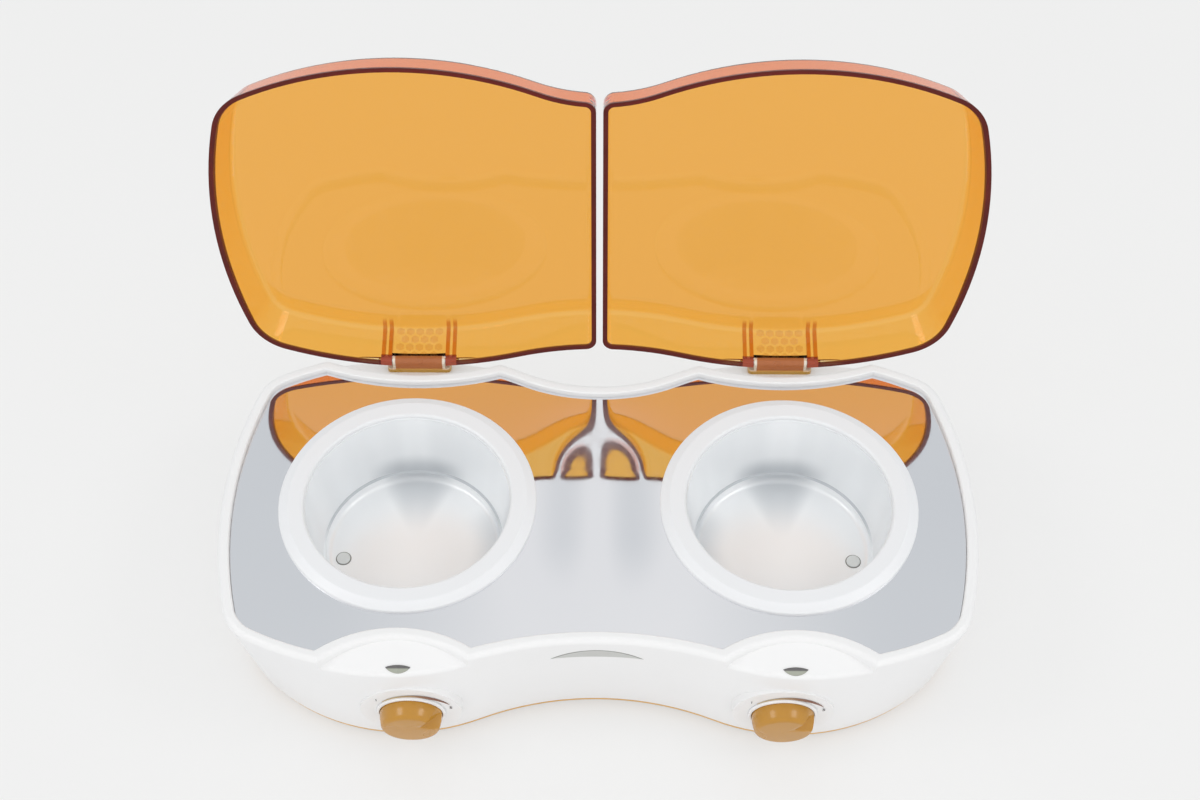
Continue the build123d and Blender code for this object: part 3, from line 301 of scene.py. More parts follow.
# Painted reflections: the floor's wedge and edge, the wall's foot, rays and front, and the step's
# dark line.
PAINTED_WEDGE_TURN = (0.88, 1.0)
PAINTED_WEDGE_REACH = (6.0, 40.0)
PAINTED_WEDGE_DARK = 0.62
PAINTED_EDGE_TURN = (-0.75, -1.0)
PAINTED_EDGE_REACH = (26.0, 44.0)
PAINTED_EDGE_DARK = 0.5
WALL_RISE = 1.0
PAINTED_FOOT_TURN = (0.82, 0.995)
PAINTED_FOOT_RISE = 14.0
PAINTED_FOOT_DARK = 0.65
RAY_NOISE = (0.35, 0.65)
PAINTED_RAY_DARK = 0.18
PAINTED_FRONT_TURN = (0.05, 0.3)
PAINTED_FRONT_DARK = 0.12
PAINTED_STEP_BELOW = (-1.3, -0.8)
PAINTED_STEP_ABOVE = (0.1, 0.7)
PAINTED_STEP_TURN = (-0.1, 0.4)
PAINTED_STEP_DARK = 0.8
CLOUD_DARK = 0.06


def drawn_aluminium():
    """Drawn aluminium with painted reflections, a faint random cloud and fine turned lines.

    Painted reflections darken a wedge at the back of the floor, the floor's outer edge, the
    foot of the back wall, the wall's front half and rays round the well's own axis, and the
    step between floor and wall is a painted dark line.
    """
    made, graph = new_material("drawn_aluminium")
    place = graph.place()
    out = graph.minus(graph.maths("ABSOLUTE", graph.axis(place, "X")), WELL_X * MM)
    back = graph.minus(graph.axis(place, "Y"), WELL_Y * MM)
    above_step = graph.minus(graph.axis(place, "Z"), STEP_Z * MM)
    spoke = graph.add("ShaderNodeCombineXYZ", {"X": out, "Y": back}).outputs[0]
    radius = graph.add("ShaderNodeVectorMath", {0: spoke}, operation="LENGTH").outputs["Value"]
    heading = graph.add("ShaderNodeVectorMath", {0: spoke}, operation="NORMALIZE").outputs[0]
    to_side = graph.axis(heading, "X")
    to_back = graph.axis(heading, "Y")

    # Painted reflection on the floor: a darker wedge at the back and a darker outer edge.
    painted_wedge = graph.times(
        graph.spread(to_back, *PAINTED_WEDGE_TURN), graph.spread_mm(radius, *PAINTED_WEDGE_REACH)
    )
    edge = graph.times(graph.spread(to_side, *PAINTED_EDGE_TURN), graph.spread_mm(radius, *PAINTED_EDGE_REACH))
    floor_painted_reflection = graph.plus(graph.times(painted_wedge, PAINTED_WEDGE_DARK), graph.times(edge, PAINTED_EDGE_DARK))

    # Painted reflection on the wall: a darker foot at the back, darker rays round the axis and a
    # darker front half.
    low = graph.spread_mm(above_step, WALL_RISE, PAINTED_FOOT_RISE, 1.0, 0.0)
    foot = graph.times(graph.spread(to_back, *PAINTED_FOOT_TURN), low)
    painted_rays = graph.spread(graph.noise(1.7, 2.0, 0.5, heading), *RAY_NOISE, PAINTED_RAY_DARK, 0.0)
    wall_painted_reflection = graph.plus(graph.times(foot, PAINTED_FOOT_DARK), painted_rays)
    wall_painted_reflection = graph.plus(wall_painted_reflection, graph.spread(to_back, *PAINTED_FRONT_TURN, PAINTED_FRONT_DARK, 0.0))

    # Painted reflection: a dark line at the step between floor and wall.
    step = graph.times(
        graph.spread_mm(above_step, *PAINTED_STEP_BELOW),
        graph.spread_mm(above_step, *PAINTED_STEP_ABOVE, PAINTED_STEP_DARK, 0.0),
    )
    step = graph.times(step, graph.spread(to_back, *PAINTED_STEP_TURN))

    on_wall = graph.spread_mm(above_step, 0.0, WALL_RISE)
    # The floor's painted reflection below the step, the wall's above it and the step's painted
    # line, then a faint random cloud.
    dark = graph.plus(floor_painted_reflection, graph.times(on_wall, graph.minus(wall_painted_reflection, floor_painted_reflection)))
    dark = graph.larger(dark, step)
    cloud = graph.noise(22.0, 1.0, 0.4, place)
    dark = graph.plus(dark, graph.spread(cloud, *RAY_NOISE, 0.0, CLOUD_DARK))
    rings = graph.add("ShaderNodeCombineXYZ", {"X": radius}).outputs[0]
    turned = graph.noise(1500.0, 2.0, 0.6, rings)
    shader = graph.principled(
        {
            "Base Color": graph.blend(dark, *WELL_TONES),
            "Metallic": WELL_METALLIC,
            "Roughness": graph.spread(dark, 0.0, 0.6, 0.30, 0.38),
            "Normal": graph.bump(turned, 0.06, 0.05 * MM),
        }
    )
    surface(graph, shader)
    return made


# Lids: the hinge's place and opening, and where the deep tone of lip, ribs and knuckles
# starts and ends. In the closed lid LIP_EDGE is measured up and LIP_THINS and RIB_ENDS
# back from the pin. KNUCKLE_EDGE is a radius round the pin, and RIB_INSIDE, RIB_OUTSIDE
# and KNUCKLE_SIDE are measured from the middle of an ear.
PIN_Y = 72.622
PIN_Z = 82.2
LID_OPEN = math.radians(99.0)
HINGE_X = 94.4
EAR_PITCH = 33.4
LIP_TONES = (rgb(80, 20, 14), rgb(102, 32, 24))
LIP_DEEP = 0.94
LIP_EDGE = (-1.0, -0.2)
LIP_THINS = (-60.0, -15.0)
LIP_THINNER = 0.8
RIB_TONE = (0.74, 0.48, 0.38, 1)
RIB_INSIDE = (0.5, 0.9)
RIB_OUTSIDE = (2.6, 3.0)
RIB_ENDS = (-15.0, -11.0)
KNUCKLE_TONE = rgb(172, 82, 60)
KNUCKLE_DEEP = 0.8
KNUCKLE_EDGE = (2.8, 3.4)
KNUCKLE_SIDE = (2.8, 3.2)
AMBER_PASS = (0.96, 0.94, 0.92, 1)
AMBER_LOSS = {"Color": (0.984, 0.715, 0.0, 1), "Density": 990.0}
AMBER_IOR = 1.49


def clear_amber():
    """Clear amber plastic: light is lost with the way it goes inside.

    Light that only brightens other surfaces goes straight through, a little warmed. The
    lip, the ribs and the knuckles are thick and show the deeper tone of a long way inside.
    """
    made, graph = new_material("clear_amber")
    place = graph.place()
    across = graph.maths("ABSOLUTE", graph.axis(place, "X"))
    back = graph.minus(graph.axis(place, "Y"), PIN_Y * MM)
    up = graph.minus(graph.axis(place, "Z"), PIN_Z * MM)
    sine, cosine = math.sin(LID_OPEN), math.cos(LID_OPEN)
    closed_back = graph.minus(graph.times(back, cosine), graph.times(up, sine))
    closed_up = graph.plus(graph.times(back, sine), graph.times(up, cosine))
    thinner = graph.spread_mm(closed_back, *LIP_THINS, 0.0, LIP_THINNER * MM)
    lip = graph.spread_mm(graph.plus(closed_up, thinner), *LIP_EDGE, LIP_DEEP, 0.0)

    from_hinge = graph.maths("ABSOLUTE", graph.minus(across, HINGE_X * MM))
    from_ear = graph.maths("ABSOLUTE", graph.minus(from_hinge, EAR_PITCH / 2 * MM))
    rib = graph.times(
        graph.spread_mm(from_ear, *RIB_INSIDE),
        graph.spread_mm(from_ear, *RIB_OUTSIDE, 1.0, 0.0),
    )
    rib = graph.times(rib, graph.spread_mm(closed_back, *RIB_ENDS))

    from_pin = graph.maths("SQRT", graph.plus(graph.times(back, back), graph.times(up, up)))
    knuckle = graph.times(
        graph.spread_mm(from_pin, *KNUCKLE_EDGE, KNUCKLE_DEEP, 0.0),
        graph.spread_mm(from_ear, *KNUCKLE_SIDE, 1.0, 0.0),
    )

    fine = graph.noise(70.0, 2.0)
    glass = graph.principled(
        {
            "Base Color": graph.blend(rib, (1, 1, 1, 1), RIB_TONE),
            "Roughness": graph.vary(fine, 0.0, 0.02),
            "IOR": AMBER_IOR,
            "Transmission Weight": 1.0,
            "Normal": graph.bump(fine, 0.1, 0.05 * MM),
        }
    )
    deep = graph.principled(
        {
            "Base Color": graph.blend(knuckle, graph.blend(fine, *LIP_TONES), KNUCKLE_TONE),
            "Roughness": 0.3,
            "Specular IOR Level": 0.2,
        }
    )
    shown = graph.mix(graph.larger(lip, knuckle), glass, deep)
    unseen = graph.either_ray("Is Shadow Ray", "Is Diffuse Ray")
    loss = graph.add("ShaderNodeVolumeAbsorption", AMBER_LOSS).outputs[0]
    surface(
        graph, graph.mix(unseen, shown, graph.transparent(AMBER_PASS)), graph.mix(unseen, loss)
    )
    return made


HEXAGON_TONES = ((0.955, 0.905, 0.86, 1), (0.965, 0.925, 0.88, 1))
HEXAGON_GLOSS = 0.04


def hexagon_amber():
    """Raised hexagons on the lid: thin, so they only deepen the colour behind them."""
    made, graph = new_material("hexagon_amber")
    through = graph.transparent(graph.blend(graph.noise(120.0), *HEXAGON_TONES))
    gloss = graph.add("ShaderNodeBsdfGlossy", {"Color": (1, 1, 1, 1), "Roughness": 0.08})
    surface(graph, graph.mix(HEXAGON_GLOSS, through, gloss.outputs[0]))
    return made


# The Y over which the lens goes from its pale front to its dark back, a painted shadow of the
# rim's back edge.
LENS_SHADOW_TURNS = (-105.2, -104.6)


def smoked_lens():
    """Smoked lens: greenish grey in front, and darker in its back part, where a painted shadow of
    the rim's back edge lies.
    """
    made, graph = new_material("smoked_lens")
    # Painted shadow of the rim's back edge on the lens's back part.
    shade = graph.spread_mm(graph.axis(graph.place(), "Y"), *LENS_SHADOW_TURNS)
    shader = graph.principled(
        {
            "Base Color": graph.blend(shade, rgb(164, 167, 154), rgb(98, 96, 96)),
            "Roughness": graph.vary(graph.noise(80.0), 0.22, 0.3),
            "Coat Weight": 0.2,
        }
    )
    surface(graph, shader)
    return made


# Plate at the waist: half its width, the height of its arch, its top, and the band of painted
# shadow along its arched upper edge.
PLATE_HALF = 22.5
PLATE_HEIGHT = 8.0
PLATE_TOP = 69.0
PLATE_SHADOW_BAND = (0.6, 1.0)


def plate_silver():
    """Bare silver plate with a painted shadow along its arched upper edge, where its recess's top
    edge shades it.
    """
    made, graph = new_material("plate_silver")
    place = graph.place()
    across = graph.maths("DIVIDE", graph.axis(place, "X"), PLATE_HALF * MM)
    arch = graph.times(graph.times(across, across), PLATE_HEIGHT * MM)
    below = graph.minus(PLATE_TOP * MM, graph.plus(arch, graph.axis(place, "Z")))
    # Painted shadow: a darker grey band under the arched upper edge.
    plate_painted_shadow = graph.spread_mm(below, *PLATE_SHADOW_BAND, 1.0, 0.0)
    cloud = graph.noise(50.0, 3.0)
    bare = graph.blend(cloud, rgb(196, 197, 194), rgb(210, 211, 208))
    shader = graph.principled(
        {
            "Base Color": graph.blend(plate_painted_shadow, bare, rgb(136, 136, 132)),
            "Metallic": 0.6,
            "Roughness": graph.vary(cloud, 0.3, 0.36),
        }
    )
    surface(graph, shader)
    return made


# Hinge block: the height at which its tone turns, and where its pale, half-metallic upper ends, a
# painted highlight, start.
BLOCK_TURNS = (77.6, 79.0)
BLOCK_HIGHLIGHT = (12.0, 12.5)


def hinge_gold():
    """Hinge block: olive gold below, browner above, and pale and half metallic at its upper ends,
    a painted highlight.
    """
    made, graph = new_material("hinge_gold")
    place = graph.place()
    high = graph.spread_mm(graph.axis(place, "Z"), *BLOCK_TURNS)
    across = graph.maths("ABSOLUTE", graph.axis(place, "X"))
    from_hinge = graph.maths("ABSOLUTE", graph.minus(across, HINGE_X * MM))
    # Painted highlight: pale and half metallic at the block's upper ends.
    painted_highlight = graph.times(graph.spread_mm(from_hinge, *BLOCK_HIGHLIGHT), high)
    cloud = graph.noise(90.0, 3.0)
    low_tone = graph.blend(cloud, rgb(186, 142, 56), rgb(198, 154, 70))
    high_tone = graph.blend(cloud, rgb(160, 90, 46), rgb(178, 106, 58))
    tone = graph.blend(painted_highlight, graph.blend(high, low_tone, high_tone), rgb(232, 222, 205))
    shader = graph.principled(
        {
            "Base Color": tone,
            "Metallic": graph.times(painted_highlight, 0.5),
            "Roughness": graph.vary(cloud, 0.26, 0.34),
        }
    )
    surface(graph, shader)
    return made


# The knob's X, and the way across it over which the scale's print gets redder.
KNOB_X = 90.5
SCALE_WARMS = (-12.0, 13.0)


def dial_mark():
    """Printed scale: gold at its low end, red-brown at its high end."""
    made, graph = new_material("dial_mark")
    across = graph.axis(graph.place(), "X")
    middle = graph.times(graph.maths("SIGN", across), KNOB_X * MM)
    warm = graph.spread_mm(graph.minus(across, middle), *SCALE_WARMS)
    shader = graph.principled(
        {
            "Base Color": graph.blend(warm, rgb(202, 176, 128), rgb(134, 92, 76)),
            "Roughness": graph.vary(graph.noise(300.0), 0.4, 0.5),
        }
    )
    surface(graph, shader)
    return made


white = plastic("white_plastic", (0.85, 0.85, 0.85, 1), (0.87, 0.87, 0.87, 1), 0.4)
ring_white = plastic("ring_white", (0.825, 0.835, 0.85, 1), (0.84, 0.85, 0.865, 1), 0.34)
gold = plastic("gold_plastic", rgb(214, 166, 92), rgb(222, 176, 104), 0.3)
knob_gold = plastic("knob_gold", rgb(181, 127, 28), rgb(188, 134, 36), 0.28, coat=0.35)
figure_grey = plastic("dial_figures", rgb(70, 68, 72), rgb(86, 82, 84), 0.5)
sensor_ring_grey = plastic("sensor_ring_grey", rgb(120, 118, 112), rgb(134, 132, 126), 0.5)
button_satin = plastic("button_satin", rgb(216, 218, 216), rgb(226, 228, 226), 0.35, coat=0.2)
scale_print = dial_mark()
hexagon_tone = hexagon_amber()
SLOT_MATERIALS = {
    "white_plastic": white,
    "gold_plastic": gold,
    "amber_plastic": clear_amber(),
    "polished_steel": polished_deck(),
    "satin_silver": metal("satin_silver", rgb(196, 196, 194), rgb(212, 212, 210), 0.28),
    "aluminium": drawn_aluminium(),
    "steel": metal("plated_steel", rgb(185, 187, 190), rgb(205, 207, 210), 0.2),
    "dark_plastic": plastic("dark_plastic", rgb(52, 52, 54), rgb(60, 60, 62), 0.5),
    "pale_plastic": plastic("pale_plastic", rgb(218, 214, 202), rgb(226, 222, 212), 0.45),
    "smoked_lens": smoked_lens(),
    "lamp_glass": plastic("lamp_glass", rgb(214, 150, 110), rgb(224, 165, 124), 0.1, coat=0.5),
    "dark_rubber": plastic("dark_rubber", rgb(58, 58, 58), rgb(68, 68, 68), 0.7),
    "wire_sleeve": plastic("wire_sleeve", rgb(222, 218, 206), rgb(232, 228, 218), 0.55),
}
PAIR_MATERIALS = {
    "well_ring": ring_white,
    "sensor_button": button_satin,
    "hinge_block": hinge_gold(),
}


def give(piece, material):
    piece.data.materials.clear()
    piece.data.materials.append(material)


for part in frame["record"]["subparts"]:
    give(nodes[part["node"]], SLOT_MATERIALS[part["material_slot"]])
give(nodes["front_plate"], plate_silver())
for name, material in PAIR_MATERIALS.items():
    for side, word in SIDES:
        give(nodes[name + "_" + word], material)


# Mesh helpers


def linked(name, mesh, material):
    made = bpy.data.objects.new(name, mesh)
    bpy.context.scene.collection.objects.link(made)
    give(made, material)
    return made


def mesh_of(form, name):
    """The mesh of a bmesh, which is freed."""
    mesh = bpy.data.meshes.new(name)
    form.to_mesh(mesh)
    form.free()
    return mesh


def closed_mesh(form, name):
    """The mesh of a closed form, with its normals turned outward."""
    bmesh.ops.recalc_face_normals(form, faces=form.faces)
    return mesh_of(form, name)


def band(form, low, high):
    """Four-cornered faces from one closed row of vertices to the next."""
    for index in range(len(low)):
        after = (index + 1) % len(low)
        corners = [low[index], low[after], high[after], high[index]]
        form.faces.new(list(dict.fromkeys(corners)))


def finished_mesh(piece):
    """A new mesh of a piece with its modifiers, or a text's outline, applied."""
    bpy.context.view_layer.update()
    return bpy.data.meshes.new_from_object(
        piece.evaluated_get(bpy.context.evaluated_depsgraph_get())
    )


def lathe(profile, steps, closed, spot):
    """A mesh turned from (radius, along) points, with spot(u, v, w) giving each place.

    An open profile starts and ends on the axis, and a closed one is a ring's section.
    """
    form = bmesh.new()
    turns = [2 * math.pi * step / steps for step in range(steps)]
    rows = []
    for radius, along in profile:
        if radius == 0:
            rows.append([form.verts.new(spot(0, 0, along))] * steps)
            continue
        places = [spot(radius * math.cos(turn), radius * math.sin(turn), along) for turn in turns]
        rows.append([form.verts.new(place) for place in places])
    for low, high in zip(rows, rows[1:]):
        band(form, low, high)
    if closed:
        band(form, rows[-1], rows[0])
    return closed_mesh(form, "turned")


def rounded(corners, steps=6):
    """The path through (x, y, radius) corners with each corner rounded to its radius."""
    path = []
    for index, (x, y, radius) in enumerate(corners):
        here = Vector((x, y))
        if radius == 0 or index in (0, len(corners) - 1):
            path.append((x, y))
            continue
        before = (Vector(corners[index - 1][:2]) - here).normalized()
        after = (Vector(corners[index + 1][:2]) - here).normalized()
        half = before.angle(after) / 2
        middle = here + (before + after).normalized() * (radius / math.sin(half))
        start = here + before * (radius / math.tan(half)) - middle
        sweep = start.angle_signed(here + after * (radius / math.tan(half)) - middle)
        for step in range(steps + 1):
            turn = -sweep * step / steps
            path.append(
                (
                    middle.x + start.x * math.cos(turn) - start.y * math.sin(turn),
                    middle.y + start.x * math.sin(turn) + start.y * math.cos(turn),
                )
            )
    return path


def soften(mesh, limit):
    """Smooth shading with an edge kept sharp where its faces turn by more than the limit."""
    form = bmesh.new()
    form.from_mesh(mesh)
    for face in form.faces:
        face.smooth = True
    for edge in form.edges:
        if len(edge.link_faces) == 2:
            edge.smooth = edge.calc_face_angle() < limit
    form.to_mesh(mesh)
    form.free()


def hull(points):
    form = bmesh.new()
    for point in points:
        form.verts.new(point)
    bmesh.ops.convex_hull(form, input=form.verts)
    return mesh_of(form, "hull")


def prism(outline, low, high, spot):
    """A mesh that stands on an outline of (u, v) points, from low to high along w."""
    form = bmesh.new()
    below = [form.verts.new(spot(u, v, low)) for u, v in outline]
    over = [form.verts.new(spot(u, v, high)) for u, v in outline]
    form.faces.new(below)
    form.faces.new(over)
    band(form, below, over)
    return closed_mesh(form, "prism")


# Knobs and their dials


KNOB_Y = -105.532
KNOB_Z = 32.0
KNOB_TILT = math.radians(5.0)
KNOB_STEPS = 120
KNOB_GAP = 0.8
KNOB_BACK_RADIUS = 15.2
KNOB_BACK_EDGE = 0.3
KNOB_WAIST_RADIUS = 15.1
KNOB_WAIST = 4.6
KNOB_WAIST_ROUND = 12.0
KNOB_FACE_RADIUS = 13.9
KNOB_FACE = 10.1
KNOB_FACE_ROUND = 2.6
KNOB_HOLLOW_RADIUS = 9.2
KNOB_HOLLOW_END = 4.2
KNOB_BORE_RADIUS = 3.1
KNOB_BORE_END = 9.3
KNOB_BEVEL = 0.3
KNOB_BEVEL_FROM = math.radians(32.0)
KNOB_SHARP = math.radians(40.0)
NOTCH = (
    (4.5, 3.1, 10.7),     # tip, just over the face
    (12.8, 15.2, 8.8),    # wall, past the rim
    (15.1, 9.8, -0.4),    # foot of the wall, past the rim
    (17.9, 2.0, -0.8),    # lowest place of the floor, past the rim
    (16.1, -0.2, 9.1),    # where the floor comes up to the face again
)
NOTCH_TOP = 15.0

RING_SHARP = math.radians(50.0)
COLLAR_SECTION = (
    (15.4, 0.25, 0),
    (16.9, 0.25, 0),
    (16.75, 1.35, 0.4),
    (15.45, 1.6, 0.25),
    (15.4, 0.25, 0),
)
COLLAR_ROUND_STEPS = 4

# The scale's outer edge leaves the collar from the start, and its inner edge after a
# share of SCALE_LEAVES of the way. Each has a radius, a rise and the power of its curve.
SCALE_STEPS = 48
SCALE_START = 140.0
SCALE_SWEEP = 117.0
SCALE_LEAVES = 0.62
SCALE_INNER = (17.05, 3.8, 1.5)
SCALE_OUTER = (17.35, 3.55, 1.3)
SCALE_THINNEST = 0.04
SCALE_HEIGHTS = (0.25, 0.4)
FIGURE_SIZE = 3.4
FIGURE_DEPTH = 0.05
FIGURE_LIFT = 0.36
FIGURES = (("1", math.radians(140.5), 20.6), ("5", math.radians(13.5), 20.2))


def dial_spot(side):
    """Turns a place on the dial, right, up and out in millimetres, into metres."""
    right = Vector((1, 0, 0))
    out = Vector((0, -math.cos(KNOB_TILT), -math.sin(KNOB_TILT)))
    up = out.cross(right)
    middle = Vector((side * KNOB_X, KNOB_Y, KNOB_Z))

    def spot(u, v, w):
        return (middle + right * u + up * v + out * w) * MM

    return spot


def notch_cutter(spot):
    """The notch: a steep wall from its tip up to the rim, and a floor that falls outward."""
    tip, rim_above, rim_middle, rim_below, face_end = NOTCH
    points = [tip, rim_above, rim_middle, rim_below, face_end]
    points += [(u, v, NOTCH_TOP) for u, v, w in (tip, rim_above, face_end)]
    return hull([spot(*point) for point in points])


def build_knob(side, word):
    """A knob with a rounded face, a pointer notch and a recess and bore behind."""
    spot = dial_spot(side)
    outside = rounded(
        [
            (0, KNOB_FACE, 0),
            (KNOB_FACE_RADIUS, KNOB_FACE, KNOB_FACE_ROUND),
            (KNOB_WAIST_RADIUS, KNOB_WAIST, KNOB_WAIST_ROUND),
            (KNOB_BACK_RADIUS, KNOB_GAP, KNOB_BACK_EDGE),
            (KNOB_HOLLOW_RADIUS, KNOB_GAP, 0),
        ]
    )
    inside = [
        (KNOB_HOLLOW_RADIUS, KNOB_HOLLOW_END),
        (KNOB_BORE_RADIUS, KNOB_HOLLOW_END),
        (KNOB_BORE_RADIUS, KNOB_BORE_END),
        (0, KNOB_BORE_END),
    ]
    mesh = lathe(outside + inside, KNOB_STEPS, False, spot)
    knob = linked("knob_" + word + "_turned", mesh, knob_gold)
    cutter = linked("notch_cutter", notch_cutter(spot), knob_gold)
    cut = knob.modifiers.new("notch", "BOOLEAN")
    cut.operation = "DIFFERENCE"
    cut.solver = "EXACT"
    cut.object = cutter
    bevel = knob.modifiers.new("edges", "BEVEL")
    bevel.width = KNOB_BEVEL * MM
    bevel.segments = 2
    bevel.limit_method = "ANGLE"
    bevel.angle_limit = KNOB_BEVEL_FROM
    shaped = finished_mesh(knob)
    knob.modifiers.clear()
    knob.data = shaped
    bpy.data.objects.remove(cutter)
    soften(shaped, KNOB_SHARP)
    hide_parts("knob_" + word)
    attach(knob, word + "_knob")


def crescent():
    """The scale beside the knob: it leaves the collar on the left and ends in a point."""
    inner_radius, inner_rise, inner_power = SCALE_INNER
    outer_radius, outer_rise, outer_power = SCALE_OUTER
    inner, outer = [], []
    for step in range(SCALE_STEPS + 1):
        share = step / SCALE_STEPS
        turn = math.radians(SCALE_START - SCALE_SWEEP * share)
        leave = max(0.0, share - SCALE_LEAVES) / (1.0 - SCALE_LEAVES)
        near = inner_radius + inner_rise * leave ** inner_power
        far = max(outer_radius + outer_rise * share ** outer_power, near + SCALE_THINNEST)
        inner.append((near * math.cos(turn), near * math.sin(turn)))
        outer.append((far * math.cos(turn), far * math.sin(turn)))
    return inner + outer[::-1]


def dial_figure(word, text, turn, radius, spot):
    curve = bpy.data.curves.new("figure", "FONT")
    curve.body = text
    curve.size = FIGURE_SIZE
    curve.align_x = "CENTER"
    curve.align_y = "CENTER"
    curve.extrude = FIGURE_DEPTH
    flat = bpy.data.objects.new("figure", curve)
    bpy.context.scene.collection.objects.link(flat)
    mesh = finished_mesh(flat)
    bpy.data.objects.remove(flat)
    u = radius * math.cos(turn)
    v = radius * math.sin(turn)
    for vertex in mesh.vertices:
        vertex.co = spot(u + vertex.co.x, v + vertex.co.y, FIGURE_LIFT + vertex.co.z)
    figure = linked("dial_figure_" + text + "_" + word, mesh, figure_grey)
    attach(figure, "base")


def build_dial(side, word):
    """A raised collar round the knob, and the scale and its figures beside it."""
    spot = dial_spot(side)
    section = rounded(COLLAR_SECTION, COLLAR_ROUND_STEPS)[:-1]
    collar = linked("dial_collar_" + word, lathe(section, KNOB_STEPS, True, spot), white)
    soften(collar.data, RING_SHARP)
    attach(collar, "base")
    mesh = prism(crescent(), *SCALE_HEIGHTS, spot)
    scale = linked("dial_scale_" + word, mesh, scale_print)
    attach(scale, "base")
    for text, turn, radius in FIGURES:
        dial_figure(word, text, turn, radius, spot)


for side, word in SIDES:
    build_knob(side, word)
    build_dial(side, word)


# Grey rings round the sensor buttons


SENSOR_X = 131.0
SENSOR_Y = -18.778
FLOOR_Z = 33.0
# A thin dark grey ring that outlines each button's head on the floor.
SENSOR_RING_SECTION = ((3.4, -0.05), (4.0, -0.05), (3.95, 0.2), (3.5, 0.28))
SENSOR_RING_STEPS = 48


def build_sensor_ring(side, word):
    """A thin dark grey ring round a sensor button's head, lying on the well's floor."""
    middle = Vector((side * SENSOR_X, SENSOR_Y, FLOOR_Z))

    def spot(u, v, w):
        return (middle + Vector((u, v, w))) * MM

    sensor_ring = linked("sensor_ring_" + word, lathe(SENSOR_RING_SECTION, SENSOR_RING_STEPS, True, spot), sensor_ring_grey)
    soften(sensor_ring.data, RING_SHARP)
    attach(sensor_ring, "base")


for side, word in SIDES:
    build_sensor_ring(side, word)


# Raised hexagons inside each lid, between its hinge ribs


LIP_Z = 79.8
LID_BACK = PIN_Y + 2.0
LID_WALL = 2.4
LID_LEAN = 7.5 / 21.0
LID_BACK_RADIUS = 200.0
LIP_TIP_X = 95.0
HEX_ROWS = 4
HEX_COLUMNS = range(-2, 3)
HEX_HALF_WIDTH = 11.0
HEX_PITCH = 5.05
HEX_ROW = 4.4
HEX_FIRST = 4.3
HEX_ACROSS = 3.9
HEX_PROUD = 0.28
HEX_SUNK = 0.05
HEX_EDGE_HEIGHT = 0.1
HEX_EDGE_WIDTH = 0.15


def hexagon_places(side):
    """Centres on the inner face of the closed lid's back skirt."""
    for row in range(HEX_ROWS):
        shift = 0.5 if row % 2 == 0 else 0.0
        for column in HEX_COLUMNS:
            x = (column + shift) * HEX_PITCH
            if abs(x) > HEX_HALF_WIDTH:
                continue
            z = LIP_Z + HEX_FIRST + row * HEX_ROW
            across = side * HINGE_X + x
            sagged = (abs(across) - LIP_TIP_X) ** 2 / (2 * LID_BACK_RADIUS)
            y = LID_BACK - LID_WALL - LID_LEAN * (z - LIP_Z) - sagged
            yield Vector((across, y, z))


def build_hexagons(side, word):
    """Low hexagons with a bevelled edge, laid out on the closed lid and swung open."""
    turn = Matrix.Rotation(-LID_OPEN, 3, "X")
    pin = Vector((0, PIN_Y, PIN_Z))
    inward = Vector((0, -1, -LID_LEAN)).normalized()
    level = Vector((1, 0, 0))
    climb = inward.cross(level)
    half = HEX_ACROSS / 2
    levels = (
        (-HEX_SUNK, half),
        (HEX_PROUD - HEX_EDGE_HEIGHT, half),
        (HEX_PROUD, half - HEX_EDGE_WIDTH),
    )
    form = bmesh.new()
    for middle in hexagon_places(side):
        rings = []
        for depth, flat in levels:
            reach = flat / math.cos(math.radians(30))
            corners = []
            for step in range(6):
                angle = math.radians(60 * step + 30)
                point = middle + inward * depth
                point += level * (reach * math.cos(angle)) + climb * (reach * math.sin(angle))
                corners.append(form.verts.new((turn @ (point - pin) + pin) * MM))
            rings.append(corners)
        for low, high in zip(rings, rings[1:]):
            band(form, low, high)
        form.faces.new(rings[0])
        form.faces.new(rings[-1])
    made = linked("lid_hexagons_" + word, closed_mesh(form, "hexagons"), hexagon_tone)
    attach(made, word + "_lid")


for side, word in SIDES:
    build_hexagons(side, word)


# Table and light, in metres


TABLE_HALF = 4.0
TABLE_HEIGHT = -0.00005
TABLE_TONES = ((0.84, 0.84, 0.845, 1), (0.86, 0.86, 0.86, 1))
TABLE_SEEN = rgb(242, 242, 241)
TABLE_GLOW = 0.6


def table_paper():
    """Pale table: more than half of the tone that is seen is its own, so it looks even."""
    made, graph = new_material("table_paper")
    colour = graph.blend(graph.noise(9.0, 2.0), *TABLE_TONES)
    paper = graph.add("ShaderNodeBsdfDiffuse", {"Color": colour}).outputs[0]
    glow = graph.add("ShaderNodeEmission", {"Color": TABLE_SEEN, "Strength": 1.0}).outputs[0]
    share = graph.times(graph.either_ray("Is Camera Ray", "Is Transmission Ray"), TABLE_GLOW)
    surface(graph, graph.mix(share, paper, glow))
    return made


def flat_sheet(name, half, height, material):
    mesh = bpy.data.meshes.new(name)
    plan = ((-half, -half), (half, -half), (half, half), (-half, half))
    mesh.from_pydata([(x, y, height) for x, y in plan], [], [(0, 1, 2, 3)])
    return linked(name, mesh, material)


floor = flat_sheet("floor", TABLE_HALF, TABLE_HEIGHT, table_paper())


# Name, place, height that it points at, width, height, watts, and whether gloss shows it.
LAMPS = (
    ("light_above", (0.0, -0.9, 2.4), 0.05, 2.4, 1.6, 3.0, False),
    ("light_low", (0.0, -1.6, 0.3), 0.04, 2.2, 0.5, 2.5, False),
    ("light_left", (-1.05, -0.2, 1.3), 0.05, 0.5, 0.5, 2.4, True),
    ("light_right", (1.05, -0.2, 1.3), 0.05, 0.5, 0.5, 2.4, True),
)


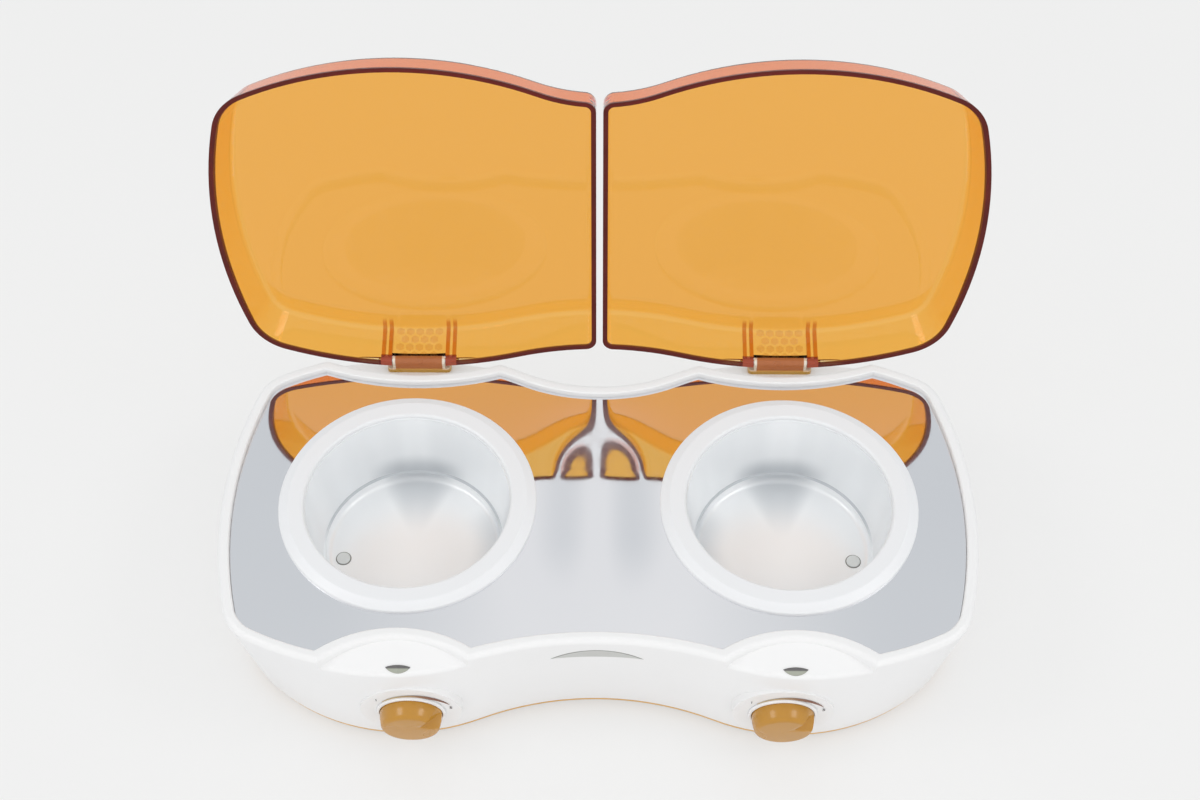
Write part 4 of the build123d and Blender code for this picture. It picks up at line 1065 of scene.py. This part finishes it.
def soft_light(name, place, aim, wide, high, watts, in_gloss):
    lamp = bpy.data.lights.new(name, "AREA")
    lamp.shape = "RECTANGLE"
    lamp.size = wide
    lamp.size_y = high
    lamp.energy = watts
    made = bpy.data.objects.new(name, lamp)
    bpy.context.scene.collection.objects.link(made)
    made.location = place
    made.rotation_euler = (Vector((0, 0, aim)) - Vector(place)).to_track_quat("-Z", "Y").to_euler()
    made.visible_glossy = in_gloss


for lamp in LAMPS:
    soft_light(*lamp)


# World: its tones, how far to the side the middle tone goes over into the sides', and
# how far back the front's tone goes over into both.
TONE_FRONT = (0.90, 0.90, 0.90, 1)
TONE_MIDDLE = (0.86, 0.86, 0.865, 1)
TONE_SIDES = (0.67, 0.69, 0.71, 1)
TONE_SEEN = (0.84, 0.84, 0.84, 1)
TENT_SIDEWAYS = (0.03, 0.18)
TENT_BACKWARD = (0.0, 0.5)


def studio_world():
    """Bright tent round the table: palest in front, greyer up behind and to its sides.

    The camera sees one plain tone there, also through the lids.
    """
    made = bpy.data.worlds.new("studio")
    made.use_nodes = True
    sky = Graph(made.node_tree)
    direction = sky.add("ShaderNodeTexCoord").outputs["Generated"]
    sideways = sky.maths("ABSOLUTE", sky.axis(direction, "X"))
    behind = sky.blend(sky.spread(sideways, *TENT_SIDEWAYS), TONE_MIDDLE, TONE_SIDES)
    backward = sky.spread(sky.axis(direction, "Y"), *TENT_BACKWARD)
    tone = sky.blend(backward, TONE_FRONT, behind)
    tone = sky.blend(sky.either_ray("Is Camera Ray", "Is Transmission Ray"), tone, TONE_SEEN)
    background = sky.add("ShaderNodeBackground", {"Color": tone, "Strength": 1.0}).outputs[0]
    sky.put(sky.add("ShaderNodeOutputWorld").inputs["Surface"], background)
    return made


bpy.context.scene.world = studio_world()


# Camera, as solved from the two well collars. Its distance and clip range are in metres.


CAMERA_TARGET = mm(0.414, 51.998, 76.0)
CAMERA_DISTANCE = 1.000308
CAMERA_CLIP = (0.01, 50.0)
CAMERA_ELEVATION = math.radians(52.775)
CAMERA_YAW = math.radians(0.426)
CAMERA_ROLL = math.radians(-0.021)
CAMERA_LENS = 57.844
SENSOR_WIDTH = 36.0

camera_data = bpy.data.cameras.new("photo_camera")
camera = bpy.data.objects.new("photo_camera", camera_data)
bpy.context.scene.collection.objects.link(camera)
camera_data.sensor_fit = "HORIZONTAL"
camera_data.sensor_width = SENSOR_WIDTH
camera_data.lens = CAMERA_LENS
camera_data.clip_start, camera_data.clip_end = CAMERA_CLIP
back = Vector(
    (
        math.sin(CAMERA_YAW) * math.cos(CAMERA_ELEVATION),
        -math.cos(CAMERA_YAW) * math.cos(CAMERA_ELEVATION),
        math.sin(CAMERA_ELEVATION),
    )
)
right = (-back).cross(Vector((0, 0, 1))).normalized()
above = right.cross(-back)
turned_right = math.cos(CAMERA_ROLL) * right + math.sin(CAMERA_ROLL) * above
turned_above = -math.sin(CAMERA_ROLL) * right + math.cos(CAMERA_ROLL) * above
axes = Matrix((turned_right, turned_above, back)).transposed().to_4x4()
camera.matrix_world = Matrix.Translation(CAMERA_TARGET + CAMERA_DISTANCE * back) @ axes
bpy.context.scene.camera = camera
bpy.context.scene.view_settings.view_transform = "Standard"
